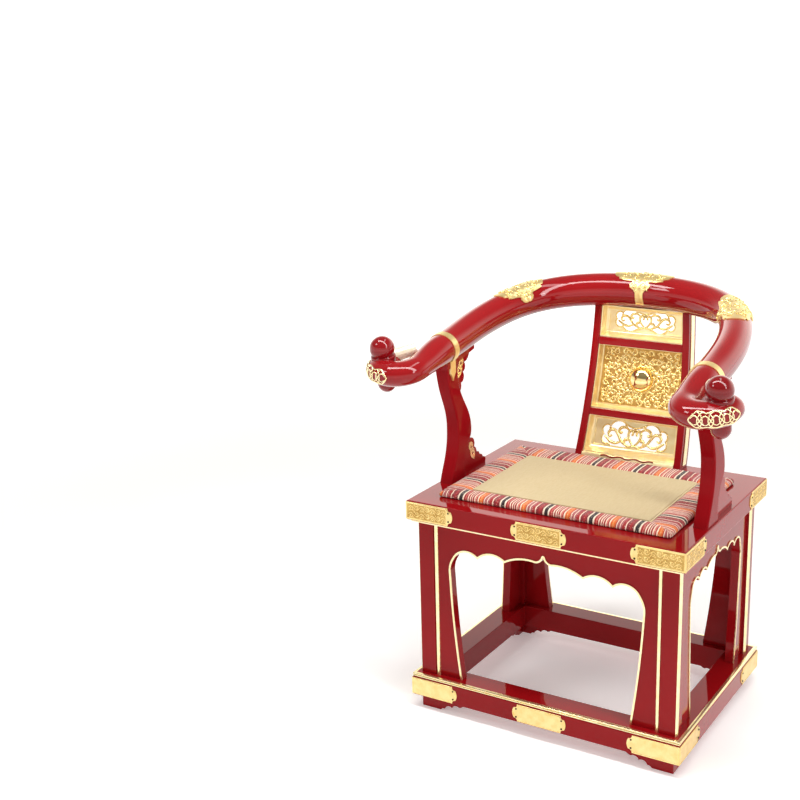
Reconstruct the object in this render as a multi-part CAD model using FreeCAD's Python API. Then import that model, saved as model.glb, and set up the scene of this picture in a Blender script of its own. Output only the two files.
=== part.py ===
import FreeCAD, Part
import math
import os

V = FreeCAD.Vector

# Driving dimensions in mm. Z is up, the front faces -Y, +X is the right-hand side seen from the front.
# Until the last step the model stands on the point below the middle of the seat slab.
middle_y = 18.97

seat_width = 600.0
seat_depth = 471.4
seat_top = 466.5
seat_thick = 42.0
seat_rail_width = 70.0
strip_height = 5.0
strip_inset = 6.0

base_inset_x = 1.0
base_inset_y = 3.3
base_bottom = 28.3
base_top = 78.5
base_rail_width = 54.0
edge_width = 6.5
edge_height = 8.0

foot_inset_x = 15.8
foot_inset_y = 12.8
foot_thick = 24.0

post_inset_x = 16.3
post_inset_y = 18.7
post_size = 34.0
board_recess = 5.0
board_thick = 18.0
opening_margin = 38.2
gilt_edge_width = 4.0
gilt_edge_proud = 2.2
bead_radius = 4.5
side_strip_width = 13.5
side_strip_rise = 3.4

plate_thick = 1.4
plate_leg = 108.0
plate_height = 38.0
middle_plate_half = 60.0
nail_radius = 2.3

back_centre_y = -757.6
back_centre_z = 837.0
back_radius = 1016.9
back_depth = 40.0
stile_foot_out = 124.5
stile_foot_in = 109.0
stile_lean = 0.0445
panel_recess = 26.0
panel_plate = 3.0
boss_radius = 28.0
boss_height = 18.0
boss_z = 638.0

arm_width = 30.0
arm_overhang = 13.8

rail_inset = 17.8
rail_radius_back = 37.4
rail_radius_arm = 31.0
joint_length = 290.0
band_y = -108.0
hand_tilt = 10.43
hand_origin_z = 781.0
hand_reach = 38.8
hand_turn_v = -216.0
hand_turn_start = 39.5
hand_turn_radius = 35.5
hand_height = -2.0
neck_wide = 28.5
neck_tall = 24.5
fist_wide = 32.5
fist_tall = 25.5
jewel_offset = 29.5
jewel_v = -228.0
cover_half = 58.0
fitting_gap = 0.3
fitting_thick = 1.7

mat_side_gap = 46.0
mat_front_gap = 45.7
mat_back_gap = 63.7
border_side = 58.0
border_front = 43.0
border_back = 66.0
mat_clearance = 0.1
border_thick = 14.8
rush_thick = 13.6

seat_x = seat_width / 2
seat_y = seat_depth / 2
seat_bottom = seat_top - seat_thick
stand_top = seat_bottom - strip_height
base_x = seat_x - base_inset_x
base_y = seat_y - base_inset_y
foot_x = base_x - foot_inset_x
foot_y = base_y - foot_inset_y
post_x = seat_x - post_inset_x
post_y = seat_y - post_inset_y
front_half = post_x - post_size
side_half = post_y - post_size
rail_x = seat_x - rail_inset
arm_outer_x = rail_x + arm_overhang
arm_inner_x = arm_outer_x - arm_width
hand_turn_u = rail_x + hand_reach
jewel_u = hand_turn_u + jewel_offset

pieces = {}


def box(x0, x1, y0, y1, z0, z1):
    return Part.makeBox(x1 - x0, y1 - y0, z1 - z0, V(x0, y0, z0))


def in_front(a, b):
    return V(a, 0, b)


def in_side(a, b):
    return V(0, a, b)


def in_plan(a, b):
    return V(a, b, 0)


def outline(steps, place):
    """Closed wire: two numbers end a straight run, four are a point on an arc and its end."""
    edges = []
    here = place(*steps[0][-2:])
    for step in steps[1:] + steps[:1]:
        there = place(*step[-2:])
        if len(step) == 4:
            edges.append(Part.Arc(here, place(*step[:2]), there).toShape())
        elif here.distanceToPoint(there) > 1e-6:
            edges.append(Part.makeLine(here, there))
        here = there
    return Part.Wire(edges)


def front_solid(steps, y0, y1):
    face = Part.Face(outline(steps, in_front))
    face.translate(V(0, y0, 0))
    return face.extrude(V(0, y1 - y0, 0))


def side_solid(steps, x0, x1):
    face = Part.Face(outline(steps, in_side))
    face.translate(V(x0, 0, 0))
    return face.extrude(V(x1 - x0, 0, 0))


def plan_solid(steps, z0, z1):
    face = Part.Face(outline(steps, in_plan))
    face.translate(V(0, 0, z0))
    return face.extrude(V(0, 0, z1 - z0))


def flip_x(shape):
    return shape.mirror(V(0, 0, 0), V(1, 0, 0))


def flip_y(shape):
    return shape.mirror(V(0, 0, 0), V(0, 1, 0))


def turned(shape):
    """The same shape a quarter turn further round the vertical axis."""
    copy = shape.copy()
    copy.rotate(V(0, 0, 0), V(0, 0, 1), 90)
    return copy


def four_corners(shape):
    return [shape, flip_x(shape), flip_y(shape), flip_x(flip_y(shape))]


def largest(shape):
    return max(shape.Solids, key=lambda solid: solid.Volume)


def rounded(shape, radius, wanted):
    edges = [edge for edge in shape.Edges if wanted(edge.BoundBox)]
    return shape.makeFillet(radius, edges)


# Base frame: four mitred rails with a gilt moulding let into the top outer edge.
def mitred(half_long, half_short, width, z0, z1):
    steps = [(-half_long, -half_short), (half_long, -half_short)]
    steps += [(half_long - width, -half_short + width), (-half_long + width, -half_short + width)]
    return plan_solid(steps, z0, z1)


edge_block = box(-base_x, base_x, -base_y, base_y, base_top - edge_height, base_top)
core_x = base_x - edge_width
core_y = base_y - edge_width
edge_core = box(-core_x, core_x, -core_y, core_y, 0, base_top)
edge_ring = edge_block.cut(edge_core)
edge_top = base_top - 0.01
long_base = mitred(base_x, base_y, base_rail_width, base_bottom, base_top).cut(edge_ring)
short_base = turned(mitred(base_y, base_x, base_rail_width, base_bottom, base_top)).cut(edge_ring)
pieces["base_rail_front"] = long_base
pieces["base_rail_back"] = flip_y(long_base)
pieces["base_rail_right"] = short_base
pieces["base_rail_left"] = flip_x(short_base)
outer_edges = []
for edge in edge_ring.Edges:
    bounds = edge.BoundBox
    far_x = min(abs(bounds.XMin), abs(bounds.XMax)) > base_x - 0.1
    far_y = min(abs(bounds.YMin), abs(bounds.YMax)) > base_y - 0.1
    if bounds.ZMin > edge_top and (far_x or far_y):
        outer_edges.append(edge)
pieces["base_edge"] = edge_ring.makeFillet(5.0, outer_edges)


# Bracket feet: an L in plan, each leg with a stepped scallop at its end.
def foot_profile(outer):
    steps = [(outer, 0), (outer, base_bottom), (outer - 105, base_bottom)]
    steps += [(outer - 99, 20, outer - 89, 15), (outer - 80, 17, outer - 72, 10)]
    steps += [(outer - 62, 12, outer - 54, 4), (outer - 49, 4, outer - 45, 0)]
    return steps


foot_leg_x = front_solid(foot_profile(foot_x), -foot_y, -foot_y + foot_thick)
foot_leg_y = flip_y(side_solid(foot_profile(foot_y), foot_x - foot_thick, foot_x))
foot = foot_leg_x.fuse(foot_leg_y).removeSplitter()
names = ["foot_front_right", "foot_front_left", "foot_back_right", "foot_back_left"]
for name, shape in zip(names, four_corners(foot)):
    pieces[name] = shape

# Corner posts.
post = box(post_x - post_size, post_x, -post_y, -post_y + post_size, base_top, stand_top)
names = ["post_front_right", "post_front_left", "post_back_right", "post_back_left"]
for name, shape in zip(names, four_corners(post)):
    pieces[name] = shape


# Cusped openings: arcs from the middle peak out to the foot of the board.
def opening_steps(half):
    k = half / 211.5
    arcs = [(6, 380, 17, 375.5), (55, 374.5, 86, 362), (116, 372, 148, 357)]
    arcs += [(177, 367, 203, 348), (210, 333, 211.5, 314), (202.5, 195, 187, base_top - 8)]
    steps = [(0, 390)]
    steps += [(a * k, b, c * k, d) for a, b, c, d in arcs]
    ends = [(0, 390)] + [(c, d) for a, b, c, d in arcs]
    steps.append((-ends[-1][0] * k, ends[-1][1]))
    for arc, end in zip(reversed(arcs), reversed(ends[:-1])):
        steps.append((-arc[0] * k, arc[1], -end[0] * k, end[1]))
    return steps


def apron(half_length, face, half_opening):
    board = box(-half_length, half_length, -face, -face + board_thick, base_top, stand_top)
    hole = front_solid(opening_steps(half_opening), -face - 5, -face + board_thick + 5)
    return board.cut(hole)


def gilt_edge(face, half_opening):
    inner = outline(opening_steps(half_opening), in_front)
    outer = inner.makeOffset2D(gilt_edge_width, 0)
    ring = Part.Face(outer).cut(Part.Face(inner))
    ring.translate(V(0, -face - gilt_edge_proud, 0))
    strip = ring.extrude(V(0, gilt_edge_proud, 0))
    return strip.common(box(-400, 400, -400, 400, base_top, stand_top))


front_face = post_y - board_recess
side_face = post_x - board_recess
opening_half_front = front_half - opening_margin
opening_half_side = side_half - opening_margin
apron_front = apron(front_half, front_face, opening_half_front)
apron_side = turned(apron(side_half, side_face, opening_half_side))
pieces["apron_front"] = apron_front
pieces["apron_back"] = flip_y(apron_front)
pieces["apron_right"] = apron_side
pieces["apron_left"] = flip_x(apron_side)
front_gilt = gilt_edge(front_face, opening_half_front)
side_gilt = turned(gilt_edge(side_face, opening_half_side))
gilt_edges = [front_gilt, flip_y(front_gilt), side_gilt, flip_x(side_gilt)]
pieces["opening_edges"] = Part.makeCompound(gilt_edges)

# Gilt beads: a half round where the front and back boards meet the posts, and a low round strip
# along the front edge of each post's outer side.
bead_height = stand_top - base_top
half_round = Part.makeCylinder(bead_radius, bead_height, V(0, 0, base_top), V(0, 0, 1), 180)
half_round.rotate(V(0, 0, 0), V(0, 0, 1), 180)
front_bead = half_round.copy()
front_bead.translate(V(front_half - bead_radius, -front_face, 0))
strip_steps = [(post_x, 0), (post_x + side_strip_rise, side_strip_width / 2, post_x, side_strip_width)]
strip = Part.Face(outline(strip_steps, in_plan)).extrude(V(0, 0, bead_height))
side_strips = []
for y in (-post_y, side_half):
    side_strip = strip.copy()
    side_strip.translate(V(0, y, base_top))
    side_strips += [side_strip, flip_x(side_strip)]
pieces["stand_beads"] = Part.makeCompound(four_corners(front_bead) + side_strips)

# Seat slab: four mitred rails round a flush board, with a gilt strip underneath.
long_seat = mitred(seat_x, seat_y, seat_rail_width, seat_bottom, seat_top)
long_seat = rounded(long_seat, 2.0, lambda b: b.YMax < 0.1 - seat_y and b.XLength > 1)
short_seat = turned(mitred(seat_y, seat_x, seat_rail_width, seat_bottom, seat_top))
short_seat = rounded(short_seat, 2.0, lambda b: b.XMin > seat_x - 0.1 and b.YLength > 1)
pieces["seat_rail_front"] = long_seat
pieces["seat_rail_back"] = flip_y(long_seat)
pieces["seat_rail_right"] = short_seat
pieces["seat_rail_left"] = flip_x(short_seat)
board_x = seat_x - seat_rail_width
board_y = seat_y - seat_rail_width
pieces["seat_board"] = box(-board_x, board_x, -board_y, board_y, seat_top - 20, seat_top)
strip_x = seat_x - strip_inset
strip_y = seat_y - strip_inset
strip = box(-strip_x, strip_x, -strip_y, strip_y, stand_top, seat_bottom)
strip_hole = box(36 - strip_x, strip_x - 36, 36 - strip_y, strip_y - 36, stand_top, seat_bottom)
pieces["seat_strip"] = strip.cut(strip_hole)


# Chased plates on the slab and base: cusped free ends, two nails at each.
def plate_end(x, z0, z1, way):
    up = math.copysign(1, z1 - z0)
    steps = [(x + way * 11, z0), (x + way * 9.4, z0 + up * 5.4, x + way * 3.5, z0 + up * 7.5)]
    steps += [(x, (z0 + z1) / 2, x + way * 3.5, z1 - up * 7.5)]
    steps += [(x + way * 9.4, z1 - up * 5.4, x + way * 11, z1)]
    return steps


def nail(x, face, z):
    ball = Part.makeSphere(nail_radius, V(x, -face - plate_thick + 1.0, z))
    return ball.common(box(x - 5, x + 5, -face - 9, -face - plate_thick, z - 5, z + 5))


def fittings(half_x, half_y, z0):
    z1 = z0 + plate_height
    corner_x = half_x + plate_thick
    corner_y = half_y + plate_thick
    leg_steps = [(corner_x, z1), (corner_x, z0)] + plate_end(half_x - plate_leg, z0, z1, 1)
    leg = front_solid(leg_steps, -corner_y, -half_y)
    return_steps = [(-corner_y, z1), (-corner_y, z0)] + plate_end(plate_leg - half_y, z0, z1, -1)
    return_leg = side_solid(return_steps, half_x, corner_x)
    middle_steps = plate_end(-middle_plate_half, z0, z1, 1) + plate_end(middle_plate_half, z1, z0, -1)
    middle = front_solid(middle_steps, -corner_y, -half_y)
    return leg.fuse(return_leg).removeSplitter(), middle


corner_plates = []
middle_plates = []
nails = []
for half_x, half_y, z0 in [(seat_x, seat_y, seat_bottom + 2), (base_x, base_y, base_bottom + 2)]:
    corner, middle = fittings(half_x, half_y, z0)
    corner_plates += four_corners(corner)
    middle_plates += [middle, flip_y(middle)]
    for z in (z0 + 10, z0 + plate_height - 10):
        nails += four_corners(nail(half_x - plate_leg + 9, half_y, z))
        nails += four_corners(nail(middle_plate_half - 9, half_y, z))
        side_nail = turned(nail(plate_leg - half_y - 9, half_x, z))
        nails += four_corners(side_nail)
pieces["corner_plates"] = Part.makeCompound(corner_plates)
pieces["middle_plates"] = Part.makeCompound(middle_plates)
pieces["plate_nails"] = Part.makeCompound(nails)

# Horseshoe rail: a round section that tapers from the back to the arms along one smooth line.
half_line = [V(87, 270.3, 832.9), V(166.4, 238.8, 827.7), V(229.7, 179.7, 816.3), V(264.2, 98.7, 800.0)]
half_line += [V(279.1, 9.9, 781.3), V(281.9, -79.3, 764.0), V(282.2, -169.1, 750.8)]
half_line = [V(p.x * rail_x / 282.2, p.y, p.z) for p in half_line]
line = [V(-p.x, p.y, p.z) for p in reversed(half_line)] + [V(0, 279.8, 833.9)] + half_line
curve = Part.BSplineCurve()
curve.interpolate(line)
rail_line = curve.toShape()
rail_half = rail_line.Length / 2


def on_rail(s):
    place = rail_line.getParameterByLength(rail_half + s)
    return rail_line.valueAt(place), rail_line.tangentAt(place)


def rail_radius(s):
    return rail_radius_back + (rail_radius_arm - rail_radius_back) * abs(s) / rail_half


def ring_wire(centre, direction, radius):
    return Part.Wire(Part.makeCircle(radius, centre, direction))


def tube(s0, s1, extra):
    count = max(4, int(abs(s1 - s0) / 22) + 1)
    wires = []
    for i in range(count):
        s = s0 + (s1 - s0) * i / (count - 1)
        centre, along = on_rail(s)
        wires.append(ring_wire(centre, along, rail_radius(s) + extra))
    return Part.makeLoft(wires, True)


def hand_place(u, v, w):
    t = math.radians(hand_tilt)
    return V(u, v * math.cos(t) - w * math.sin(t), hand_origin_z + v * math.sin(t) + w * math.cos(t))


def to_hand(shape):
    placed = shape.copy()
    placed.rotate(V(0, 0, 0), V(1, 0, 0), hand_tilt)
    placed.translate(V(0, 0, hand_origin_z))
    return placed


def place_on_rail(y):
    low, high = 0.0, rail_half
    for _ in range(50):
        middle = (low + high) / 2
        if on_rail(middle)[0].y > y:
            low = middle
        else:
            high = middle
    return low


# Hand: the rail thins to a neck, curls outwards and swells to a fist.
arm_end = place_on_rail(-125.0)
arm_points = [on_rail(joint_length + (arm_end - joint_length) * i / 6)[0] for i in range(7)]
arm_points.append(hand_place(hand_turn_u - hand_turn_start, hand_turn_v, hand_height))
forward = hand_place(0, -1, 0) - hand_place(0, 0, 0)
arm_curve = Part.BSplineCurve()
arm_curve.interpolate(Points=arm_points, InitialTangent=on_rail(joint_length)[1], FinalTangent=forward)
arm_line = arm_curve.toShape()
thin_from = arm_end - joint_length


def arm_tube(extra):
    count = int(arm_line.Length / 20)
    wires = []
    for i in range(count + 1):
        length = arm_line.Length * i / count
        place = arm_line.getParameterByLength(length)
        share = max(0.0, (length - thin_from) / (arm_line.Length - thin_from))
        ease = share * share * (3 - 2 * share)
        radius = rail_radius(joint_length + length) * (1 - ease)
        along = arm_line.tangentAt(place)
        across = V(0, 0, 1).cross(along).normalize()
        centre = arm_line.valueAt(place)
        section = Part.Ellipse(centre, radius + neck_wide * ease + extra, radius + neck_tall * ease + extra)
        section.Axis = along
        section.XAxis = across
        wires.append(Part.Wire(section.toShape()))
    return Part.makeLoft(wires, True)


def oval(centre, way, wide, tall):
    curve = Part.Ellipse(centre + way * wide, centre + V(0, 0, tall), centre)
    return Part.Wire(curve.toShape())


def curl(extra):
    steps = 12
    sections = []
    for i in range(steps + 1):
        share = i / steps
        angle = math.pi * (1 + share)
        way = V(math.cos(angle), math.sin(angle), 0)
        reach = hand_turn_start + (hand_turn_radius - hand_turn_start) * share
        centre = V(hand_turn_u, hand_turn_v, hand_height) + way * reach
        wide = neck_wide + (fist_wide - neck_wide) * share + extra
        tall = neck_tall + (fist_tall - neck_tall) * share + extra
        sections.append(oval(centre, way, wide, tall))
    tip_u = hand_turn_u + hand_turn_radius
    for angle in (15, 30, 45, 58, 70, 79):
        run = math.sin(math.radians(angle))
        left = math.cos(math.radians(angle))
        centre = V(tip_u, hand_turn_v + run * fist_wide, hand_height)
        sections.append(oval(centre, V(1, 0, 0), left * fist_wide + extra, left * fist_tall + extra))
    return Part.makeLoft(sections, True)


turn = curl(0)
turn_clear = curl(fitting_gap)
turn_outer = curl(fitting_gap + fitting_thick)
spindle_hole = Part.makeCylinder(5.3, 120, V(jewel_u, jewel_v, -60), V(0, 0, 1))
hand = arm_tube(0).fuse(to_hand(turn.cut(spindle_hole)))
back_tube = tube(0, joint_length, 0)

# Dowels in the three joints of the rail.
dowels = []
for s in (-joint_length, 0, joint_length):
    centre, along = on_rail(s)
    dowels.append(Part.makeCylinder(7, 60, centre - along * 30, along))
dowel_group = Part.makeCompound(dowels)
rail_back_right = back_tube.cut(dowel_group)
rail_front_right = largest(hand.cut(dowel_group))
pieces["rail_back_right"] = rail_back_right
pieces["rail_back_left"] = flip_x(rail_back_right)
pieces["rail_front_right"] = rail_front_right
pieces["rail_front_left"] = flip_x(rail_front_right)
pieces["rail_dowels"] = dowel_group
rail_clear = tube(-joint_length - 100, joint_length + 100, 0.05)
arm_clear = arm_tube(0.05)

# Jewel finials: a turned dome on a disc above the hand, a knob below, one spindle through it.
dome = [(0, 64), (1, 64), (18.1, 56.5, 25.5, 38.5), (24.6, 31.9, 22.3, 26.2), (24.2, 25.2, 25.2, 22.5)]
dome += [(25.2, 4), (0, 4)]
knob = [(0, -20), (19, -20), (19, -39), (14.5, -50, 1, -56), (0, -56)]


def turned_piece(steps):
    face = Part.Face(outline(steps, in_front))
    body = face.revolve(V(0, 0, 0), V(0, 0, 1), 360)
    body.translate(V(jewel_u, jewel_v, 0))
    return largest(body.cut(turn_clear))


spindle = Part.makeCylinder(5.0, 75, V(jewel_u, jewel_v, -45), V(0, 0, 1))
jewel = to_hand(turned_piece(dome).fuse([turned_piece(knob), spindle]))
pieces["jewels"] = Part.makeCompound([jewel, flip_x(jewel)])

# Gilt tip of the curl, from the hand back to the outer side of the rail.
tip_start = V(hand_turn_u + 31, -208.0, 11.0)
tip_end = V(hand_turn_u - 8, -166.0, 17.0)
tip_way = tip_end - tip_start
tip = Part.makeCone(15.0, 13.0, tip_way.Length, tip_start, tip_way)
tip = to_hand(tip.cut(turn_clear)).cut(arm_clear).cut(jewel)
tip = largest(tip)
pieces["curl_tips"] = Part.makeCompound([tip, flip_x(tip)])


# Openwork on the front of the hand: holes cut through a thin shell that follows the curl.
def hand_fitting():
    middle = V(hand_turn_u, hand_turn_v, hand_height)
    wedge = Part.makeCylinder(90, 30, middle - V(0, 0, 11), V(0, 0, 1), 100)
    wedge.rotate(middle, V(0, 0, 1), -102)
    shell = turn_outer.cut(turn_clear).common(wedge)
    shell = shell.cut(Part.makeCylinder(hand_turn_radius + 6, 80, middle - V(0, 0, 40), V(0, 0, 1)))
    holes = []
    for row, height in enumerate((-5.0, 4.0, 13.0)):
        for i in range(6):
            angle = math.radians(-96 + 17 * i + (8.5 if row == 1 else 0))
            way = V(math.cos(angle), math.sin(angle), 0)
            holes.append(Part.makeCylinder(5.4, 60, middle + way * 40 + V(0, 0, height), way))
    return largest(to_hand(shell.cut(Part.makeCompound(holes))).cut(jewel))


fitting = hand_fitting()
pieces["hand_fittings"] = Part.makeCompound([fitting, flip_x(fitting)])


# Gilt covers over the joints of the rail: saddles with lobed edges.
def sleeve(s0, s1):
    return tube(s0, s1, fitting_gap + fitting_thick).cut(tube(s0 - 5, s1 + 5, fitting_gap))


def saddle_cover(middle, half):
    cover = sleeve(middle - half, middle + half)
    centre, along = on_rail(middle)
    side = V(0, 0, 1).cross(along).normalize()
    up = along.cross(side)
    under = Part.makeBox(2 * half + 30, 140, 80, V(-half - 15, -70, -80))
    under.Placement = FreeCAD.Placement(centre, FreeCAD.Rotation(along, side, up, "XYZ"))
    cuts = [under]
    for offset in (-0.75, -0.25, 0.25, 0.75):
        low = centre + along * offset * half - up * 2
        cuts.append(Part.makeCylinder(12, 140, low - side * 70, side))
    for end in (-half, half):
        tip, way = on_rail(middle + end)
        for angle in (-60, 0, 60):
            turn_way = side * math.sin(math.radians(angle)) + up * math.cos(math.radians(angle))
            cuts.append(Part.makeCylinder(11, 70, tip, turn_way))
    return largest(cover.cut(Part.makeCompound(cuts)))


cover = saddle_cover(joint_length, cover_half)
pieces["joint_covers"] = Part.makeCompound([cover, flip_x(cover)])
wing = [(0, 900), (68, 900), (68, 862), (60, 855, 50, 859), (42, 851, 32, 857), (24, 850, 26, 842)]
wing += [(23, 829, 9, 826), (9, 780)]
wing_left = [(-9, 780), (-9, 826), (-23, 829, -26, 842), (-24, 850, -32, 857), (-42, 851, -50, 859)]
wing_left += [(-60, 855, -68, 862), (-68, 900)]
centre_cover = sleeve(-68, 68).common(front_solid(wing + wing_left, 150, 400))
pieces["centre_cover"] = largest(centre_cover)


# Back: stiles, cross rails and gilt panels cut from one curved thickness.
def bent(d0, d1):
    outer = Part.makeCylinder(back_radius + d1, 280, V(-140, back_centre_y, back_centre_z), V(1, 0, 0))
    inner = Part.makeCylinder(back_radius + d0, 280, V(-140, back_centre_y, back_centre_z), V(1, 0, 0))
    return outer.cut(inner).common(box(-140, 140, 120, 360, seat_top, 850))


def inside_x(z, margin):
    return stile_foot_in - (z - seat_top) * stile_lean - margin


def field(z0, z1, margin):
    low = z0 + margin
    high = z1 - margin
    a = inside_x(low, margin)
    b = inside_x(high, margin)
    return front_solid([(-a, low), (a, low), (b, high), (-b, high)], 120, 360)


stile_top = 850.0
lean_top = (stile_top - seat_top) * stile_lean
stile_steps = [(stile_foot_in, seat_top), (stile_foot_out, seat_top)]
stile_steps += [(stile_foot_out - lean_top, stile_top), (stile_foot_in - lean_top, stile_top)]
stile = bent(0, back_depth).common(front_solid(stile_steps, 120, 360)).cut(rail_clear)
stile = min(stile.Solids, key=lambda solid: solid.BoundBox.ZMin)
pieces["stile_right"] = stile
pieces["stile_left"] = flip_x(stile)
lower_z = (557.0, 572.0)
upper_z = (712.0, 729.0)
foot_z = 473.0
a = inside_x(seat_top, 0)
b = inside_x(foot_z, 0)
wave = [(-a, seat_top), (a, seat_top), (b, foot_z), (78, 476, 62, 473.5), (40, 470.5, 20, 474)]
wave += [(0, 477, -20, 474), (-40, 470.5, -62, 473.5), (-78, 476, -b, foot_z)]
pieces["back_rail_bottom"] = bent(0, back_depth).common(front_solid(wave, 120, 360))
pieces["back_rail_lower"] = bent(0, back_depth).common(field(lower_z[0], lower_z[1], 0))
pieces["back_rail_upper"] = bent(0, back_depth).common(field(upper_z[0], upper_z[1], 0))


def scroll(x, z, radius, width, start, sweep):
    """Flat ring segment seen from the front, a bar of one arabesque."""
    ring = Part.makeCylinder(radius + width / 2, 300, V(x, 120, z), V(0, 1, 0), 360)
    ring = ring.cut(Part.makeCylinder(radius - width / 2, 300, V(x, 120, z), V(0, 1, 0), 360))
    if sweep >= 360:
        return ring
    steps = [(x, z)]
    reach = radius * 3
    for i in range(5):
        angle = math.radians(start + sweep * i / 4)
        steps.append((x + reach * math.cos(angle), z + reach * math.sin(angle)))
    return ring.common(front_solid(steps, 110, 430))


def cartouche(middle_z, half, height):
    k = half / 70.0
    h = height / 26.0
    arcs = [(12, 20, 22, 24), (44, 28, 56, 17), (72, 14, 70, 0)]
    arcs += [(72, -14, 56, -17), (44, -28, 22, -24), (12, -20, 0, -17)]
    steps = [(0, 17)] + arcs
    steps += [(-a, -b, -c, -d) for a, b, c, d in arcs]
    moved = []
    for step in steps:
        moved.append(tuple(n * k if i % 2 == 0 else middle_z + n * h for i, n in enumerate(step)))
    return front_solid(moved, 120, 400)


def arabesque(middle_z, k):
    curls = [(26, 2, 15, -60, 300), (50, -6, 13, 20, 280), (52, 15, 9, 160, 260)]
    curls += [(14, 20, 10, 180, 230), (12, -19, 11, 40, 200), (36, 24, 8, 120, 250)]
    bars = []
    for x, z, radius, start, sweep in curls:
        bar = scroll(x * k, middle_z + z * k, radius * k, 3.4, start, sweep)
        bars += [bar, flip_x(bar)]
    return bars[0].fuse(bars[1:])


def tray(z0, z1):
    """Gilt plate at the bottom of a stepped gilt lining."""
    plate = bent(panel_recess, panel_recess + panel_plate).common(field(z0, z1, 0))
    for margin0, margin1, front in ((0, 3, 2), (3, 6, 12), (6, 9, 19)):
        step = field(z0, z1, margin0).cut(field(z0, z1, margin1))
        plate = plate.fuse(bent(front, panel_recess).common(step))
    return plate


def pierced_panel(z0, z1, middle_z, half, height, k):
    window = cartouche(middle_z, half, height)
    sheet = bent(panel_recess + 0.4, panel_recess + panel_plate - 0.4)
    bars = sheet.common(arabesque(middle_z, k).common(window))
    panel = tray(z0, z1).cut(window).fuse(bars)
    return largest(panel.cut(panel_clear).removeSplitter())


panel_clear = tube(-joint_length, joint_length, fitting_gap + fitting_thick + 0.4)
pieces["panel_bottom"] = pierced_panel(477.0, lower_z[0], 513.0, 73.0, 28.0, 1.1)
pieces["panel_top"] = pierced_panel(upper_z[1], 812.0, 766.0, 66.0, 22.0, 0.95)
pieces["panel_middle"] = tray(lower_z[1], upper_z[0]).removeSplitter()
boss_slope = math.asin((back_centre_z - boss_z) / (back_radius + panel_recess))
boss_way = V(0, -math.cos(boss_slope), math.sin(boss_slope))
boss_foot = V(0, back_centre_y, back_centre_z) - boss_way * (back_radius + panel_recess)
cap_radius = (boss_radius ** 2 + boss_height ** 2) / (2 * boss_height)
boss = Part.makeSphere(cap_radius, boss_foot + boss_way * (boss_height - cap_radius))
pieces["boss"] = largest(boss.cut(bent(panel_recess, panel_recess + 90)))
side_steps = [(stile_foot_out, 474), (stile_foot_out + 1.6, 474)]
side_steps += [(stile_foot_out + 1.6 - lean_top, stile_top), (stile_foot_out - lean_top, stile_top)]
strip = bent(10, 28).common(front_solid(side_steps, 120, 360)).cut(stile).cut(rail_clear)
strip = min(strip.Solids, key=lambda solid: solid.BoundBox.ZMin)
pieces["stile_strips"] = Part.makeCompound([strip, flip_x(strip)])

# Arm posts: an S in side view, rounded along its edges.
post_front = [(-112, 466.5), (-101, 494), (-91, 517), (-83.5, 543), (-80.5, 573), (-83, 602)]
post_front += [(-93, 632), (-107, 664), (-120, 709), (-126, 745)]
post_rear = [(-78, 745), (-77, 705), (-69, 668), (-50, 634), (-32, 605), (-23.5, 578), (-26, 553)]
post_rear += [(-40, 536), (-50, 515), (-48, 466.5)]
front_curve = Part.BSplineCurve()
front_curve.interpolate([in_side(*p) for p in post_front])
rear_curve = Part.BSplineCurve()
rear_curve.interpolate([in_side(*p) for p in post_rear])
post_head = Part.makeLine(in_side(*post_front[-1]), in_side(*post_rear[0]))
post_foot = Part.makeLine(in_side(*post_rear[-1]), in_side(*post_front[0]))
post_face = Part.Face(Part.Wire([front_curve.toShape(), post_head, rear_curve.toShape(), post_foot]))
post_face.translate(V(arm_inner_x, 0, 0))
arm_post = post_face.extrude(V(arm_outer_x - arm_inner_x, 0, 0))
arm_post = rounded(arm_post, 4.0, lambda b: b.XLength < 0.5 and b.ZLength > 100)

# Saddle board between post and rail, hollowed to the rail.
saddle_steps = [(-124, 717), (-14, 741), (-14, 766), (-124, 742)]
saddle = side_solid(saddle_steps, arm_inner_x - 3, arm_outer_x + 3).cut(arm_clear)
saddle = min(saddle.Solids, key=lambda solid: solid.BoundBox.ZMin)
under_saddle = side_solid([(-200, 600), (60, 600), (60, 757.1), (-200, 700.4)], 200, 340)
arm_post = largest(arm_post.common(under_saddle.fuse(box(200, 340, -200, 60, 460, 610))))
pieces["arm_post_right"] = arm_post
pieces["arm_post_left"] = flip_x(arm_post)
pieces["saddles"] = Part.makeCompound([saddle, flip_x(saddle)])

# Scrolled brackets behind the post, under the saddle and on the seat.
arm_middle = (arm_inner_x + arm_outer_x) / 2
top_steps = [(-92, 722), (-18, 738), (-24, 722, -40, 716), (-36, 704, -46, 696), (-42, 682, -54, 674)]
top_steps += [(-54, 662, -66, 652), (-92, 652)]
top_bracket = side_solid(top_steps, arm_middle - 8, arm_middle + 8)
top_bracket = top_bracket.common(under_saddle).cut(arm_post)
top_bracket = largest(top_bracket)
pieces["arm_brackets"] = Part.makeCompound([top_bracket, flip_x(top_bracket)])
foot_steps = [(-60, seat_top), (44, seat_top), (44, 474), (42, 484, 32, 484), (28, 494, 18, 492)]
foot_steps += [(14, 504, 6, 504), (2, 516, -4, 520), (-4, 534, -18, 544), (-60, 544)]
foot_bracket = side_solid(foot_steps, arm_middle - 9, arm_middle + 9).cut(arm_post)
foot_bracket = largest(foot_bracket)
pieces["foot_brackets"] = Part.makeCompound([foot_bracket, flip_x(foot_bracket)])


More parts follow.
